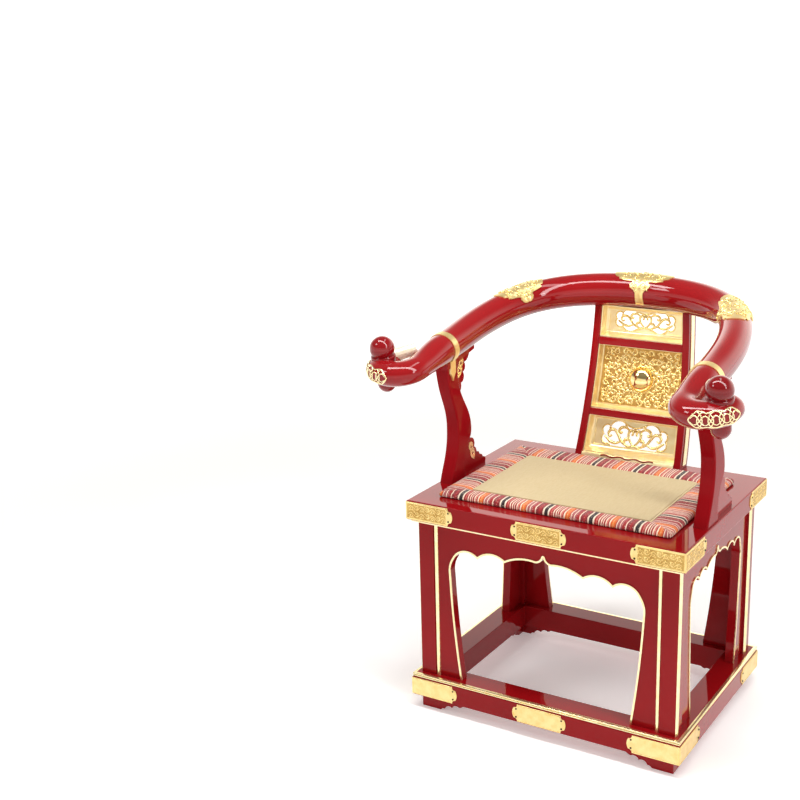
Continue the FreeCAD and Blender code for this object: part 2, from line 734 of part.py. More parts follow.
# Gilt leaves on the inner faces of the brackets.
def leaf(y, z, length, width, lean, x0, x1):
    low = length / 6
    waist = length / 8
    high = length / 3
    steps = [(0, -length / 2), (width / 2, -low, width / 3, waist), (width / 2.2, high, 0, length / 2)]
    steps += [(-width / 2.2, high, -width / 3, waist), (-width / 2, -low, 0, -length / 2)]
    body = side_solid(steps, x0, x1)
    for z_hole, radius in ((-length / 7, width / 5.5), (length / 4.5, width / 6.5)):
        body = body.cut(Part.makeCylinder(radius, 40, V(x0 - 20, 0, z_hole), V(1, 0, 0)))
    body.rotate(V(0, 0, 0), V(1, 0, 0), lean)
    body.translate(V(0, y, z))
    return body


leaves = [leaf(-60, 708, 44, 20, -24, arm_middle - 9.6, arm_middle - 8)]
leaves.append(leaf(-16, 514, 46, 18, 22, arm_middle - 10.6, arm_middle - 9))
leaves = [largest(shape.cut(arm_post)) for shape in leaves]
pieces["bracket_leaves"] = Part.makeCompound(leaves + [flip_x(shape) for shape in leaves])

# Gilt bands round the rail over the posts, each with a pointed strap down the inner face of the post.
band_s = place_on_rail(band_y)
band = sleeve(band_s - 8, band_s + 8)
strap_steps = [(-114, 757), (-114, 708), (-108, 700, -104, 691), (-100, 700, -94, 708), (-94, 757)]
strap = side_solid(strap_steps, arm_inner_x - 4.6, arm_inner_x)
strap = strap.cut(arm_clear).cut(arm_post).cut(saddle)
strap = min(strap.Solids, key=lambda solid: solid.BoundBox.ZMin)
band = largest(band.fuse(strap).cut(saddle).removeSplitter())
pieces["post_bands"] = Part.makeCompound([band, flip_x(band)])

# Loose mat: a rush pad in a padded cloth border.
mat_half = seat_x - mat_side_gap
mat_front = mat_front_gap - seat_y
mat_back = seat_y - mat_back_gap
mat_bottom = seat_top + mat_clearance
mat_border_top = mat_bottom + border_thick
border = box(-mat_half, mat_half, mat_front, mat_back, mat_bottom, mat_border_top)
border = rounded(border, 8.0, lambda b: b.ZLength > 5)
border = rounded(border, 6.0, lambda b: b.ZLength < 0.1 and b.ZMin > mat_border_top - 0.1)
border = rounded(border, 5.0, lambda b: b.ZLength < 0.1 and b.ZMax < mat_bottom + 0.1)
rush_x = mat_half - border_side
rush_y0 = mat_front + border_front
rush_y1 = mat_back - border_back
rush_space = box(-rush_x, rush_x, rush_y0, rush_y1, mat_bottom - 1, mat_border_top + 1)
pieces["mat_border"] = border.cut(rush_space)
pieces["mat_rush"] = box(-rush_x, rush_x, rush_y0, rush_y1, mat_bottom, mat_bottom + rush_thick)

os.makedirs("parts", exist_ok=True)
for name, shape in pieces.items():
    placed = shape.copy()
    placed.translate(V(0, -middle_y, 0))
    placed.exportStep("parts/" + name + ".step")
    print(name, "solids", len(placed.Solids), "valid", placed.isValid())
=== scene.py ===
import bpy
import bmesh
import cmath
import math
import numpy as np
from mathutils import Matrix, Vector


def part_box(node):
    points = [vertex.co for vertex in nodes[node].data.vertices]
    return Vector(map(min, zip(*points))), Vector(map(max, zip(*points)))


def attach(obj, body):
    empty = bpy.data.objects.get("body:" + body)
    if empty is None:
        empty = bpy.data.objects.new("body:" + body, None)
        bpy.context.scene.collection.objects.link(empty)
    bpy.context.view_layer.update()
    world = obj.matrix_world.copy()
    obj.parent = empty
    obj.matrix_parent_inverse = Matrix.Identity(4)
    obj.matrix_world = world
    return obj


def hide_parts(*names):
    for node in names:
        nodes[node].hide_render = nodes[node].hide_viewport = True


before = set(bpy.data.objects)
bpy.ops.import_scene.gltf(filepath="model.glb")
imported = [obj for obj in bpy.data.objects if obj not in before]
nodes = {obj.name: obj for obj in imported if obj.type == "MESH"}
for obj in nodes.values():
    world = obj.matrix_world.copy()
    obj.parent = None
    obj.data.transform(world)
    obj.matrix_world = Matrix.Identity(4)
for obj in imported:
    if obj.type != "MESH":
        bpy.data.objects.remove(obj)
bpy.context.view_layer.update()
scene = bpy.context.scene
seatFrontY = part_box("seat_rail_front")[0].y
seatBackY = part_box("seat_rail_back")[1].y
midY = (seatFrontY + seatBackY) / 2  # the chair is drawn round the middle of its seat
print("frame loaded,", len(nodes), "nodes")


def tone(r, g, b):
    parts = [c / 255 for c in (r, g, b)]
    return tuple(c / 12.92 if c < 0.04045 else ((c + 0.055) / 1.055) ** 2.4 for c in parts) + (1.0,)


def seatPoint(x, y, z):
    return Vector((x / 1000, y / 1000 + midY, z / 1000))  # drawing millimetres to the frame's metres


def heights(node):
    return [corner.z * 1000 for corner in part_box(node)]


def spin(degrees):
    return math.cos(math.radians(degrees)), math.sin(math.radians(degrees))


def around(count):
    turns = [2 * math.pi * k / count for k in range(count)]
    return [(math.cos(turn), math.sin(turn)) for turn in turns]


# finishes
def startMaterial(name):
    finish = bpy.data.materials.new(name)
    finish.use_nodes = True
    tree = finish.node_tree
    return finish, tree, tree.nodes["Principled BSDF"]


def feed(tree, node, values):
    # a socket is linked, anything else is set
    for key, value in values.items():
        if isinstance(value, bpy.types.NodeSocket):
            tree.links.new(value, node.inputs[key])
        else:
            node.inputs[key].default_value = value
    return node


def addNode(tree, kind, values=None, **settings):
    node = tree.nodes.new(kind)
    for key, value in settings.items():
        setattr(node, key, value)
    return feed(tree, node, values or {})


def objectPlace(tree):
    return addNode(tree, "ShaderNodeTexCoord").outputs["Object"]


def addNoise(tree, source, scale, detail=3.0, rough=0.5):
    values = {"Vector": source, "Scale": scale, "Detail": detail, "Roughness": rough}
    return addNode(tree, "ShaderNodeTexNoise", values).outputs["Fac"]


def addRamp(tree, source, stops, interpolation="LINEAR"):
    node = addNode(tree, "ShaderNodeValToRGB", {"Fac": source})
    ramp = node.color_ramp
    ramp.interpolation = interpolation
    while len(ramp.elements) < len(stops):
        ramp.elements.new(0.5)
    for element, (place, colour) in zip(ramp.elements, stops):
        element.position = place
        element.color = colour
    return node.outputs["Color"]


def addRange(tree, source, low, high, start=0.0, end=1.0, kind="LINEAR"):
    values = {"Value": source, "From Min": start, "From Max": end, "To Min": low, "To Max": high}
    return addNode(tree, "ShaderNodeMapRange", values, interpolation_type=kind).outputs["Result"]


def addMath(tree, operation, first, second):
    return addNode(tree, "ShaderNodeMath", {0: first, 1: second}, operation=operation).outputs[0]


def addBump(tree, source, distance, strength):
    values = {"Height": source, "Distance": distance, "Strength": strength}
    return addNode(tree, "ShaderNodeBump", values).outputs["Normal"]


def lacquer(name, deep, bright, roughLow, roughHigh, index):
    finish, tree, shader = startMaterial(name)
    place = objectPlace(tree)
    clouds = addNoise(tree, place, 5.0, 4.0)
    wipe = addNoise(tree, place, 34.0, 5.0, 0.65)
    peel = addNoise(tree, place, 420.0, 2.0)
    feed(tree, shader, {
        "Base Color": addRamp(tree, clouds, [(0.35, tone(*deep)), (0.65, tone(*bright))]),
        "Roughness": addRange(tree, wipe, roughLow, roughHigh),
        "Normal": addBump(tree, peel, 0.00002, 0.25),
        "IOR": index, "Coat Weight": 1.0, "Coat IOR": index, "Coat Roughness": 0.015})
    return finish


def gilding(name, pale, rich, roughLow, roughHigh, grain, depth, metal=1.0):
    finish, tree, shader = startMaterial(name)
    place = objectPlace(tree)
    clouds = addNoise(tree, place, 60.0, 4.0, 0.6)
    rub = addNoise(tree, place, 180.0, 3.0)
    tooth = addNoise(tree, place, grain, 3.0, 0.6)
    feed(tree, shader, {
        "Base Color": addRamp(tree, clouds, [(0.32, tone(*rich)), (0.62, tone(*pale))]),
        "Roughness": addRange(tree, rub, roughLow, roughHigh),
        "Normal": addBump(tree, tooth, depth, 0.6),
        "Metallic": metal})
    return finish


def stretched(tree, scale):
    # object coordinates drawn out along the grain
    mapping = addNode(tree, "ShaderNodeMapping", {"Vector": objectPlace(tree), "Scale": scale})
    return mapping.outputs["Vector"]


def plainWood():
    finish, tree, shader = startMaterial("plain wood")
    grain = addNoise(tree, stretched(tree, (90.0, 90.0, 12.0)), 1.0, 6.0, 0.7)
    feed(tree, shader, {
        "Base Color": addRamp(tree, grain, [(0.3, tone(168, 128, 82)), (0.7, tone(208, 172, 122))]),
        "Normal": addBump(tree, grain, 0.0002, 0.5),
        "Roughness": 0.6})
    return finish


redLacquer = lacquer("red lacquer", (136, 13, 18), (148, 16, 21), 0.03, 0.06, 1.18)
railLacquer = lacquer("rail lacquer", (134, 13, 18), (146, 16, 21), 0.025, 0.05, 1.3)
postLacquer = lacquer("post lacquer", (132, 13, 19), (142, 15, 22), 0.04, 0.07, 1.1)
jewelLacquer = lacquer("jewel lacquer", (118, 8, 15), (136, 11, 19), 0.02, 0.05, 1.32)
giltPlate = gilding("gilt plate", (248, 222, 156), (238, 205, 132), 0.26, 0.36, 900.0, 0.00004, 0.8)
# painted shade: the sunk ground under the plates' chasing is coloured a darker brown gold than the raised gilt on it
plateGroundShade = gilding("plate ground", (214, 174, 98), (178, 136, 68), 0.32, 0.44, 900.0, 0.00005, 0.8)
flatGilt = gilding("flat gilt", (255, 238, 190), (250, 226, 164), 0.26, 0.34, 400.0, 0.00001, 0.7)
giltTrim = gilding("gilt trim", (255, 240, 196), (250, 228, 168), 0.14, 0.22, 500.0, 0.00003, 0.9)
# partly pale gilt, partly painted reflection: the curl tips are coloured near white and only faintly metal, standing in
# for the white surroundings they mirror
paleGiltReflection = gilding("pale gilt", (255, 247, 224), (252, 241, 208), 0.2, 0.3, 400.0, 0.00001, 0.3)
giltRelief = gilding("gilt relief", (255, 234, 168), (246, 214, 132), 0.2, 0.3, 700.0, 0.00004, 0.85)
# painted shade: the middle panel's sunk ground is coloured a darker brown gold than the raised relief on it
chasedGroundShade = gilding("chased ground", (212, 168, 90), (178, 132, 60), 0.32, 0.46, 900.0, 0.00006, 0.6)
polishedGilt = gilding("polished gilt", (255, 232, 170), (248, 216, 140), 0.03, 0.07, 80.0, 0.00002)
darkNail = gilding("dark nails", (74, 52, 34), (44, 30, 22), 0.3, 0.5, 600.0, 0.00006)
rawWood = plainWood()
print("finishes made")


# plain mesh pieces
def linked(name, data):
    thing = bpy.data.objects.new(name, data)
    scene.collection.objects.link(thing)
    return thing


def makeObject(name, mesh, material):
    piece = linked(name, mesh)
    mesh.materials.clear()
    mesh.materials.append(material)
    return piece


def settle(piece, body, stands=()):
    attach(piece, body)
    if stands:
        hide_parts(*stands)
    return piece


def addPiece(name, mesh, material, stands=(), body="chair"):
    return settle(makeObject(name, mesh, material), body, stands)


def smoothed(mesh, sharpAngle):
    mesh.shade_smooth()
    mesh.set_sharp_from_angle(angle=math.radians(sharpAngle))
    return mesh


def faceOut(mesh):
    work = bmesh.new()
    work.from_mesh(mesh)
    bmesh.ops.recalc_face_normals(work, faces=work.faces)
    work.to_mesh(mesh)
    work.free()


def rawMesh(name, verts, faces=()):
    mesh = bpy.data.meshes.new(name)
    mesh.from_pydata([tuple(v) for v in verts], [], faces)
    return mesh


def meshFrom(name, verts, faces, sharpAngle):
    mesh = rawMesh(name, verts, faces)
    faceOut(mesh)
    return smoothed(mesh, sharpAngle)


def weighted(piece):
    keep = piece.modifiers.new("even faces", "WEIGHTED_NORMAL")
    keep.keep_sharp = True
    keep.weight = 100


class Bag:
    def __init__(self):
        self.verts = []
        self.faces = []

    def add(self, verts, faces):
        start = len(self.verts)
        self.verts += [tuple(v) for v in verts]
        self.faces += [tuple(i + start for i in face) for face in faces]

    def mirrored(self):
        start = len(self.verts)
        self.faces += [tuple(i + start for i in reversed(face)) for face in self.faces]
        self.verts += [(-x, y, z) for x, y, z in self.verts]

    def piece(self, name, material, slotName="gilt_fittings", stands=(), sharpAngle=60):
        return addPiece(name, meshFrom(name, self.verts, self.faces, sharpAngle), material, stands)


def gridFaces(rows, columns, closed):
    faces = []
    for i in range(rows - 1):
        for j in range(columns if closed else columns - 1):
            k = (j + 1) % columns
            faces.append((i * columns + j, i * columns + k, (i + 1) * columns + k, (i + 1) * columns + j))
    return faces


def tubeFaces(rows, columns):
    # rings one after another, a cap on each end
    last = (rows - 1) * columns
    return gridFaces(rows, columns, True) + [tuple(range(columns)), tuple(range(last, last + columns))]


def loopFaces(rows, columns):
    # rings one after another, the last joined to the first
    last = (rows - 1) * columns
    joins = [(last + k, last + (k + 1) % columns, (k + 1) % columns, k) for k in range(columns)]
    return gridFaces(rows, columns, True) + joins


def gridRim(rows, columns):
    last = (rows - 1) * columns
    rim = list(range(columns)) + [i * columns + columns - 1 for i in range(1, rows)]
    return rim + list(range(last + columns - 2, last - 1, -1)) + [i * columns for i in range(rows - 2, 0, -1)]


def strand(points, normals, radii, flat, sides):
    # a raised line: an oval bar along points, its flat side on the surface
    count = len(points)
    verts = []
    for i, point in enumerate(points):
        along = points[min(i + 1, count - 1)] - points[max(i - 1, 0)]
        if along.length < 1e-9:
            along = Vector((1, 0, 0))
        side = along.normalized().cross(normals[i]).normalized()
        for c, s in around(sides):
            verts.append(point + side * c * radii[i] + normals[i] * s * radii[i] * flat)
    return verts, tubeFaces(count, sides)


# flat drawings in millimetres, each stroke a pair of points and radii
def scroll(x, z, outer, inner, start, turns, width):
    count = 26
    points = []
    radii = []
    for i in range(count):
        share = i / (count - 1)
        reach = outer + (inner - outer) * share ** 0.8
        turn = math.radians(start) + 2 * math.pi * turns * share
        points.append((x + reach * math.cos(turn), z + reach * math.sin(turn)))
        radii.append(width * (0.55 + 0.45 * math.sin(math.pi * min(1.0, share * 1.15 + 0.12))))
    radii[-1] = width * 1.15  # the curl ends in a bud
    return points, radii


def leafStroke(x, z, angle, length, width, bend=0.5):
    count = 9
    points = []
    radii = []
    for i in range(count):
        share = i / (count - 1)
        turn = math.radians(angle) + bend * share
        points.append((x + length * share * math.cos(turn), z + length * share * math.sin(turn)))
        radii.append(max(0.12, width * math.sin(math.pi * (0.12 + 0.86 * share)) ** 0.8))
    return points, radii


def wave(x0, x1, z, height, period, width):
    count = int(abs(x1 - x0) / 2.2) + 2
    points = []
    for i in range(count):
        x = x0 + (x1 - x0) * i / (count - 1)
        points.append((x, z + height * math.sin(2 * math.pi * (x - x0) / period)))
    return points, [width] * count


def scrollBand(x0, x1, z, height, width):
    # running vine: a wavy stem with a curl in each hollow and two leaves beside it
    count = max(1, round((x1 - x0) / (height * 0.92)))
    pitch = (x1 - x0) / count
    marks = [wave(x0, x1, z, height * 0.3, pitch * 2, width * 0.8)]
    for i in range(count):
        x = x0 + pitch * (i + 0.5)
        up = -1 if i % 2 == 0 else 1
        marks.append(scroll(x, z + up * height * 0.13, height * 0.36, height * 0.05, -100 * up, 1.35 * up, width))
        marks.append(leafStroke(x - pitch * 0.42, z + up * height * 0.3, 60 * up, height * 0.26, width * 1.3))
        marks.append(leafStroke(x + pitch * 0.36, z + up * height * 0.24, 100 * up, height * 0.24, width * 1.3))
    return marks


def evenLine(points, radius):
    return points, [radius] * len(points)


def layMarks(bag, marks, place, lift, flat, sides=6):
    for points, radii in marks:
        spots = [place(a, b, lift) for a, b in points]
        bag.add(*strand([s[0] for s in spots], [s[1] for s in spots], [r / 1000 for r in radii], flat, sides))


# node trees for what repeats
def startTree(name, inputs):
    tree = bpy.data.node_groups.new(name, "GeometryNodeTree")
    tree.interface.new_socket(name="Geometry", in_out="INPUT", socket_type="NodeSocketGeometry")
    for label, kind, value in inputs:
        tree.interface.new_socket(name=label, in_out="INPUT", socket_type=kind).default_value = value
    tree.interface.new_socket(name="Geometry", in_out="OUTPUT", socket_type="NodeSocketGeometry")
    return tree, tree.nodes.new("NodeGroupInput").outputs


def endTree(tree, stamps, material):
    real = addNode(tree, "GeometryNodeRealizeInstances", {"Geometry": stamps.outputs["Instances"]})
    smooth = addNode(tree, "GeometryNodeSetShadeSmooth", {"Geometry": real.outputs["Geometry"]})
    finish = addNode(tree, "GeometryNodeSetMaterial", {"Geometry": smooth.outputs["Geometry"], "Material": material})
    addNode(tree, "NodeGroupOutput", {"Geometry": finish.outputs["Geometry"]})
    return tree


def evaluated(piece):
    return bpy.data.meshes.new_from_object(piece.evaluated_get(bpy.context.evaluated_depsgraph_get()))


def runTree(name, base, tree, values):
    piece = linked(name, base)
    modifier = piece.modifiers.new("nodes", "NODES")
    modifier.node_group = tree
    for item in tree.interface.items_tree:
        if item.item_type == "SOCKET" and item.in_out == "INPUT" and item.name in values:
            modifier[item.identifier] = values[item.name]
    result = evaluated(piece)
    piece.modifiers.remove(modifier)
    piece.data = result
    result.name = name
    return piece


# red joinery: copies of the solids with eased edges
sides = ("front", "back", "right", "left")
corners = ("front_right", "front_left", "back_right", "back_left")
joinery = {
    "ease": 0.0012,
    "steps": 2,
    "eased": ["base_rail_" + side for side in sides] + ["foot_" + corner for corner in corners]
             + ["post_" + corner for corner in corners] + ["apron_" + side for side in sides]
             + ["stile_right", "stile_left", "back_rail_bottom", "back_rail_lower", "back_rail_upper",
                "saddles", "arm_brackets", "foot_brackets"],
    "flush": ["seat_rail_" + side for side in sides] + ["seat_board"],
    "rounded": ["arm_post_right", "arm_post_left"],
}


def copyOf(node, dissolve=True):
    work = bmesh.new()
    work.from_mesh(nodes[node].data)
    bmesh.ops.remove_doubles(work, verts=work.verts, dist=2e-6)
    if dissolve:
        bmesh.ops.dissolve_limit(work, angle_limit=math.radians(0.4), verts=work.verts, edges=work.edges)
    return work


def isMitre(face):
    n = face.normal
    return abs(n.z) < 0.1 and abs(abs(n.x) - abs(n.y)) < 0.05


def eased(node, width, steps, dissolve=True):
    work = copyOf(node, dissolve)
    work.normal_update()
    picked = []
    for edge in work.edges:
        if len(edge.link_faces) == 2 and edge.calc_face_angle(0) > math.radians(35):
            if not any(isMitre(face) for face in edge.link_faces):
                picked.append(edge)
    if width and picked:
        bmesh.ops.bevel(work, geom=picked, offset=width, offset_type="OFFSET", segments=steps,
                        profile=0.5, affect="EDGES", clamp_overlap=True)
    mesh = bpy.data.meshes.new(node + "_finish")
    work.to_mesh(mesh)
    work.free()
    for old in list(mesh.attributes):
        if old.name == "custom_normal":
            mesh.attributes.remove(old)
    return smoothed(mesh, 42)


def dressNode(node, material, width, steps, dissolve=True):
    weighted(addPiece(node + "_finish", eased(node, width, steps, dissolve), material, [node]))


joineryFinish = (("eased", redLacquer, joinery["ease"]), ("flush", redLacquer, 0), ("rounded", postLacquer, 0))
for kind, finish, width in joineryFinish:
    for node in joinery[kind]:
        dressNode(node, finish, width, joinery["steps"])
print("red joinery copied and eased")


# horseshoe rail: one smooth line of sections from the back to the curled hands
rail = {
    "line": [(0, 279.8, 833.9), (87, 270.3, 832.9), (166.4, 238.8, 827.7), (229.7, 179.7, 816.3),
             (264.2, 98.7, 800.0), (279.1, 9.9, 781.3), (281.9, -79.3, 764.0), (282.2, -169.1, 750.8)],
    "radiusBack": 37.4, "radiusArm": 31.0, "joint": 290.0, "armEndY": -125.0, "around": 64, "step": 7.0,
    "reach": 1.5,  # how far to each side the direction is read
}
hand = {
    "tilt": 10.43, "originZ": 781.0, "turnU": 321.0, "turnV": -216.0, "turnStart": 39.5, "turnRadius": 35.5,
    "height": -2.0, "neckWide": 28.5, "neckTall": 24.5, "fistWide": 32.5, "fistTall": 25.5, "jewelU": 350.5,
    "jewelV": -228.0, "curlSteps": 28,
    "endAngles": (8, 16, 24, 32, 40, 48, 56, 63, 70, 76, 81, 85.5, 88.5),
}


def splineThrough(points, startSlope=None, endSlope=None):
    # cubic spline on chord lengths, free ends unless a slope is given
    pts = np.array(points, float)
    knots = np.concatenate([[0], np.cumsum(np.linalg.norm(np.diff(pts, axis=0), axis=1))])
    count = len(pts)
    gaps = np.diff(knots)
    left = np.zeros((count, count))
    right = np.zeros((count, 3))
    chords = np.diff(pts, axis=0) / gaps[:, None]
    for i in range(1, count - 1):
        left[i, i - 1:i + 2] = gaps[i], 2 * (gaps[i - 1] + gaps[i]), gaps[i - 1]
        right[i] = 3 * (gaps[i] * chords[i - 1] + gaps[i - 1] * chords[i])
    for row, other, slope, chord in ((0, 1, startSlope, chords[0]), (count - 1, count - 2, endSlope, chords[-1])):
        left[row, row] = 1 if slope is not None else 2
        if slope is None:
            left[row, other] = 1
        right[row] = slope if slope is not None else 3 * chord
    slopes = np.linalg.solve(left, right)

    def at(t):
        i = int(np.clip(np.searchsorted(knots, t) - 1, 0, count - 2))
        h = gaps[i]
        s = (t - knots[i]) / h
        a = (1 + 2 * s) * (1 - s) ** 2 * pts[i] + s * (1 - s) ** 2 * h * slopes[i]
        b = s * s * (3 - 2 * s) * pts[i + 1] - s * s * (1 - s) * h * slopes[i + 1]
        return a + b
    return at, knots[-1]


def evenSteps(at, length, count):
    # the same line by its true length
    samples = np.array([at(length * i / (count - 1)) for i in range(count)])
    reach = np.concatenate([[0], np.cumsum(np.linalg.norm(np.diff(samples, axis=0), axis=1))])

    def place(s):
        return np.array([np.interp(s, reach, samples[:, k]) for k in range(3)])
    return place, reach[-1]


mirrorLine = [(-x, y, z) for x, y, z in reversed(rail["line"][1:])]
wholePlace, wholeLength = evenSteps(*splineThrough(mirrorLine + rail["line"]), 3200)
railHalf = wholeLength / 2


def onRail(s):
    ahead = wholePlace(min(wholeLength, railHalf + s + rail["reach"])) - wholePlace(railHalf + s - rail["reach"])
    return wholePlace(railHalf + s), ahead / np.linalg.norm(ahead)


def railRadius(s):
    return rail["radiusBack"] + (rail["radiusArm"] - rail["radiusBack"]) * abs(s) / railHalf


def handPlace(u, v, w):
    c, s = spin(hand["tilt"])
    return np.array([u, v * c - w * s, hand["originZ"] + v * s + w * c])


handZero = handPlace(0, 0, 0)
handUp = handPlace(0, 0, 1) - handZero
handForward = handPlace(0, -1, 0) - handZero


def sectionRing(centre, axisA, axisB, wide, tall):
    return [seatPoint(*(centre + axisA * c * wide + axisB * s * tall)) for c, s in around(rail["around"])]


def roundAxes(along):
    across = np.cross(np.array([0.0, 0.0, 1.0]), along)
    across /= np.linalg.norm(across)
    return across, np.cross(along, across)


backRings = []
count = int(rail["joint"] / rail["step"])
for i in range(count + 1):
    s = rail["joint"] * i / count
    centre, along = onRail(s)
    backRings.append(sectionRing(centre, *roundAxes(along), railRadius(s), railRadius(s)))
armEnd, high = 0.0, railHalf
for i in range(50):
    middle = (armEnd + high) / 2
    if onRail(middle)[0][1] > rail["armEndY"]:
        armEnd = middle
    else:
        high = middle
thinFrom = armEnd - rail["joint"]
armPoints = [onRail(rail["joint"] + thinFrom * i / 6)[0] for i in range(7)]
armPoints.append(handPlace(hand["turnU"] - hand["turnStart"], hand["turnV"], hand["height"]))
armPlace, armLength = evenSteps(*splineThrough(armPoints, onRail(rail["joint"])[1], handForward), 1600)
frontRings = []
count = int(armLength / rail["step"])
for i in range(count + 1):
    s = armLength * i / count
    along = armPlace(min(armLength, s + rail["reach"])) - armPlace(max(0.0, s - rail["reach"]))
    along = handForward if i == count else along / np.linalg.norm(along)
    share = max(0.0, (s - thinFrom) / (armLength - thinFrom))
    ease = share * share * (3 - 2 * share)
    radius = railRadius(rail["joint"] + s) * (1 - ease)
    frontRings.append(sectionRing(armPlace(s), *roundAxes(along), radius + hand["neckWide"] * ease,
                                  radius + hand["neckTall"] * ease))
turnCentre = handPlace(hand["turnU"], hand["turnV"], hand["height"])


def curlSection(share):
    def between(start, end):
        return hand[start] + (hand[end] - hand[start]) * share
    angle = math.pi * (1 + share)
    way = handPlace(math.cos(angle), math.sin(angle), 0) - handZero
    centre = turnCentre + way * between("turnStart", "turnRadius")
    return centre, way, between("neckWide", "fistWide"), between("neckTall", "fistTall")


for i in range(1, hand["curlSteps"] + 1):
    centre, way, wide, tall = curlSection(i / hand["curlSteps"])
    frontRings.append(sectionRing(centre, -way, handUp, wide, tall))
for angle in hand["endAngles"]:
    left, run = spin(angle)
    centre = handPlace(hand["turnU"] + hand["turnRadius"], hand["turnV"] + run * hand["fistWide"], hand["height"])
    frontRings.append(sectionRing(centre, np.array([-1.0, 0.0, 0.0]), handUp, left * hand["fistWide"],
                                  left * hand["fistTall"]))
for side, sign in (("right", 1), ("left", -1)):
    for part, rings in (("rail_back_", backRings), ("rail_front_", frontRings)):
        node = part + side
        verts = [(sign * x, y, z) for ring in rings for x, y, z in ring]
        mesh = meshFrom(node + "_finish", verts, tubeFaces(len(rings), rail["around"]), 55)
        addPiece(node + "_finish", mesh, railLacquer, [node])
print("rail swept, arm", round(armLength), "mm")


# jewel finials: lathe profiles as (radius, height) on the hand's own axis
jewel = {
    "around": 48, "ball": 25.5, "ballHeight": 38.5,
    "foot": [(22.6, 27.0), (21.9, 26.0), (22.2, 25.5), (23.4, 25.3), (24.6, 24.6), (25.2, 23.0), (25.2, 21.0),
             (24.6, 12), (23, 4)],
    "knob": [(17, -16), (18.6, -22), (19, -27), (19, -38), (18.2, -42.5), (16, -47), (12.6, -51), (8, -54.2),
             (4, -55.6), (0.2, -56)],
}


def lathe(profile, count, place):
    verts = [place(radius * c, radius * s, height) for radius, height in profile for c, s in around(count)]
    return verts, tubeFaces(len(profile), count)


def onJewel(a, b, w):
    return seatPoint(*handPlace(hand["jewelU"] + a, hand["jewelV"] + b, w))


dome = [(0.2, jewel["ballHeight"] + jewel["ball"])]
for angle in range(84, -24, -6):
    c, s = spin(angle)
    dome.append((jewel["ball"] * c, jewel["ballHeight"] + jewel["ball"] * s))
jewelBag = Bag()
for profile in (dome + jewel["foot"], jewel["knob"]):
    jewelBag.add(*lathe(profile, jewel["around"], onJewel))
jewelBag.mirrored()
jewelBag.piece("jewels_turned", jewelLacquer, "red_lacquer", ["jewels"])
print("jewels turned")


# hand fittings: interlocking rings and petals inside a cusped rim on the front of the curl
handBand = {"ring": 14.0, "pitch": 19.0, "rings": 5, "petal": 8.0, "wire": 1.1, "rim": 1.3, "from": -98, "to": -14,
            "middle": 3.0, "out": 31.0, "half": 11.8, "cusp": 2.6, "end": 0.14, "lift": 0.7, "flat": 0.8,
            "ringPoints": 48, "wavePoints": 80, "waveSpare": 3, "rimPoints": 60}


def onFist(angle, height, lift):
    centre, way, wide, tall = curlSection((angle + 180) / 180)
    level = max(-0.96, min(0.96, height / tall))
    spread = math.sqrt(1 - level * level)
    point = centre + way * (wide * spread) + handUp * height
    normal = way * (spread / wide) + handUp * (level / tall)
    normal /= np.linalg.norm(normal)
    return seatPoint(*(point + normal * lift)), Vector(normal)


def rimHalf(share):
    ends = min(1.0, share / handBand["end"], (1 - share) / handBand["end"])
    return (handBand["half"] + handBand["cusp"] * abs(math.sin(3 * math.pi * share))) * max(0.0, ends) ** 0.6


bandReach = hand["turnRadius"] + handBand["out"]
bandTurn = handBand["to"] - handBand["from"]
bandMiddle = math.radians(bandTurn) * bandReach / 2


def onBand(share, height):
    return handBand["from"] + bandTurn * share, handBand["middle"] + height


bandRuns = []
for i in range(handBand["rings"]):
    offset = bandMiddle + handBand["pitch"] * (i - (handBand["rings"] - 1) / 2)
    run = []
    for k in range(handBand["ringPoints"] + 1):
        turn = 2 * math.pi * k / handBand["ringPoints"]
        share = math.degrees((offset + handBand["ring"] * math.cos(turn)) / bandReach) / bandTurn
        height = handBand["ring"] * math.sin(turn)
        if 0.01 < share < 0.99 and abs(height) < rimHalf(share):
            run.append(onBand(share, height))
        elif run:
            bandRuns.append(run)
            run = []
    if run:
        bandRuns.append(run)
bandRuns = [run for run in bandRuns if len(run) > 3]
for side in (1, -1):  # two waves cross between the rings and make the petals
    run = []
    for i in range(handBand["waveSpare"], handBand["wavePoints"] - handBand["waveSpare"] + 1):
        share = i / handBand["wavePoints"]
        turn = math.pi * (2 * share - 1) * bandMiddle / handBand["pitch"]
        run.append(onBand(share, side * handBand["petal"] * math.cos(turn)))
    bandRuns.append(run)
rimShares = [i / handBand["rimPoints"] for i in range(handBand["rimPoints"] + 1)]
rimLine = [(share, 1) for share in rimShares] + [(share, -1) for share in rimShares[-2::-1]]
rimLine = [onBand(share, side * rimHalf(share)) for share, side in rimLine]
bandMarks = [evenLine(run, handBand["wire"]) for run in bandRuns] + [evenLine(rimLine, handBand["rim"])]
rimBag = Bag()
layMarks(rimBag, bandMarks, onFist, handBand["lift"], handBand["flat"])
rimBag.mirrored()
rimBag.piece("hand_chains", giltTrim, stands=["hand_fittings"])
print("hand bands laid,", len(bandRuns), "runs")


# gilt trim kept from the solids, edges rounded
trim = {
    "round": {"opening_edges": 0.0011, "seat_strip": 0.0012, "curl_tips": 0.0006, "post_bands": 0.0,
              "bracket_leaves": 0.0003, "stile_strips": 0.0003, "stand_beads": 0.0},
    # the curl tips' near-white colour is partly painted reflection
    "finish": {"curl_tips": paleGiltReflection, "post_bands": giltPlate},
    "plates": ("corner_plates", "middle_plates"),
    "plateEase": 0.0004,
}
for node, width in trim["round"].items():
    dressNode(node, trim["finish"].get(node, giltTrim), width, joinery["steps"], width > 0)
for node in trim["plates"]:
    dressNode(node, giltPlate, trim["plateEase"], 1)
nodes["rail_dowels"].data.materials.clear()
nodes["rail_dowels"].data.materials.append(rawWood)

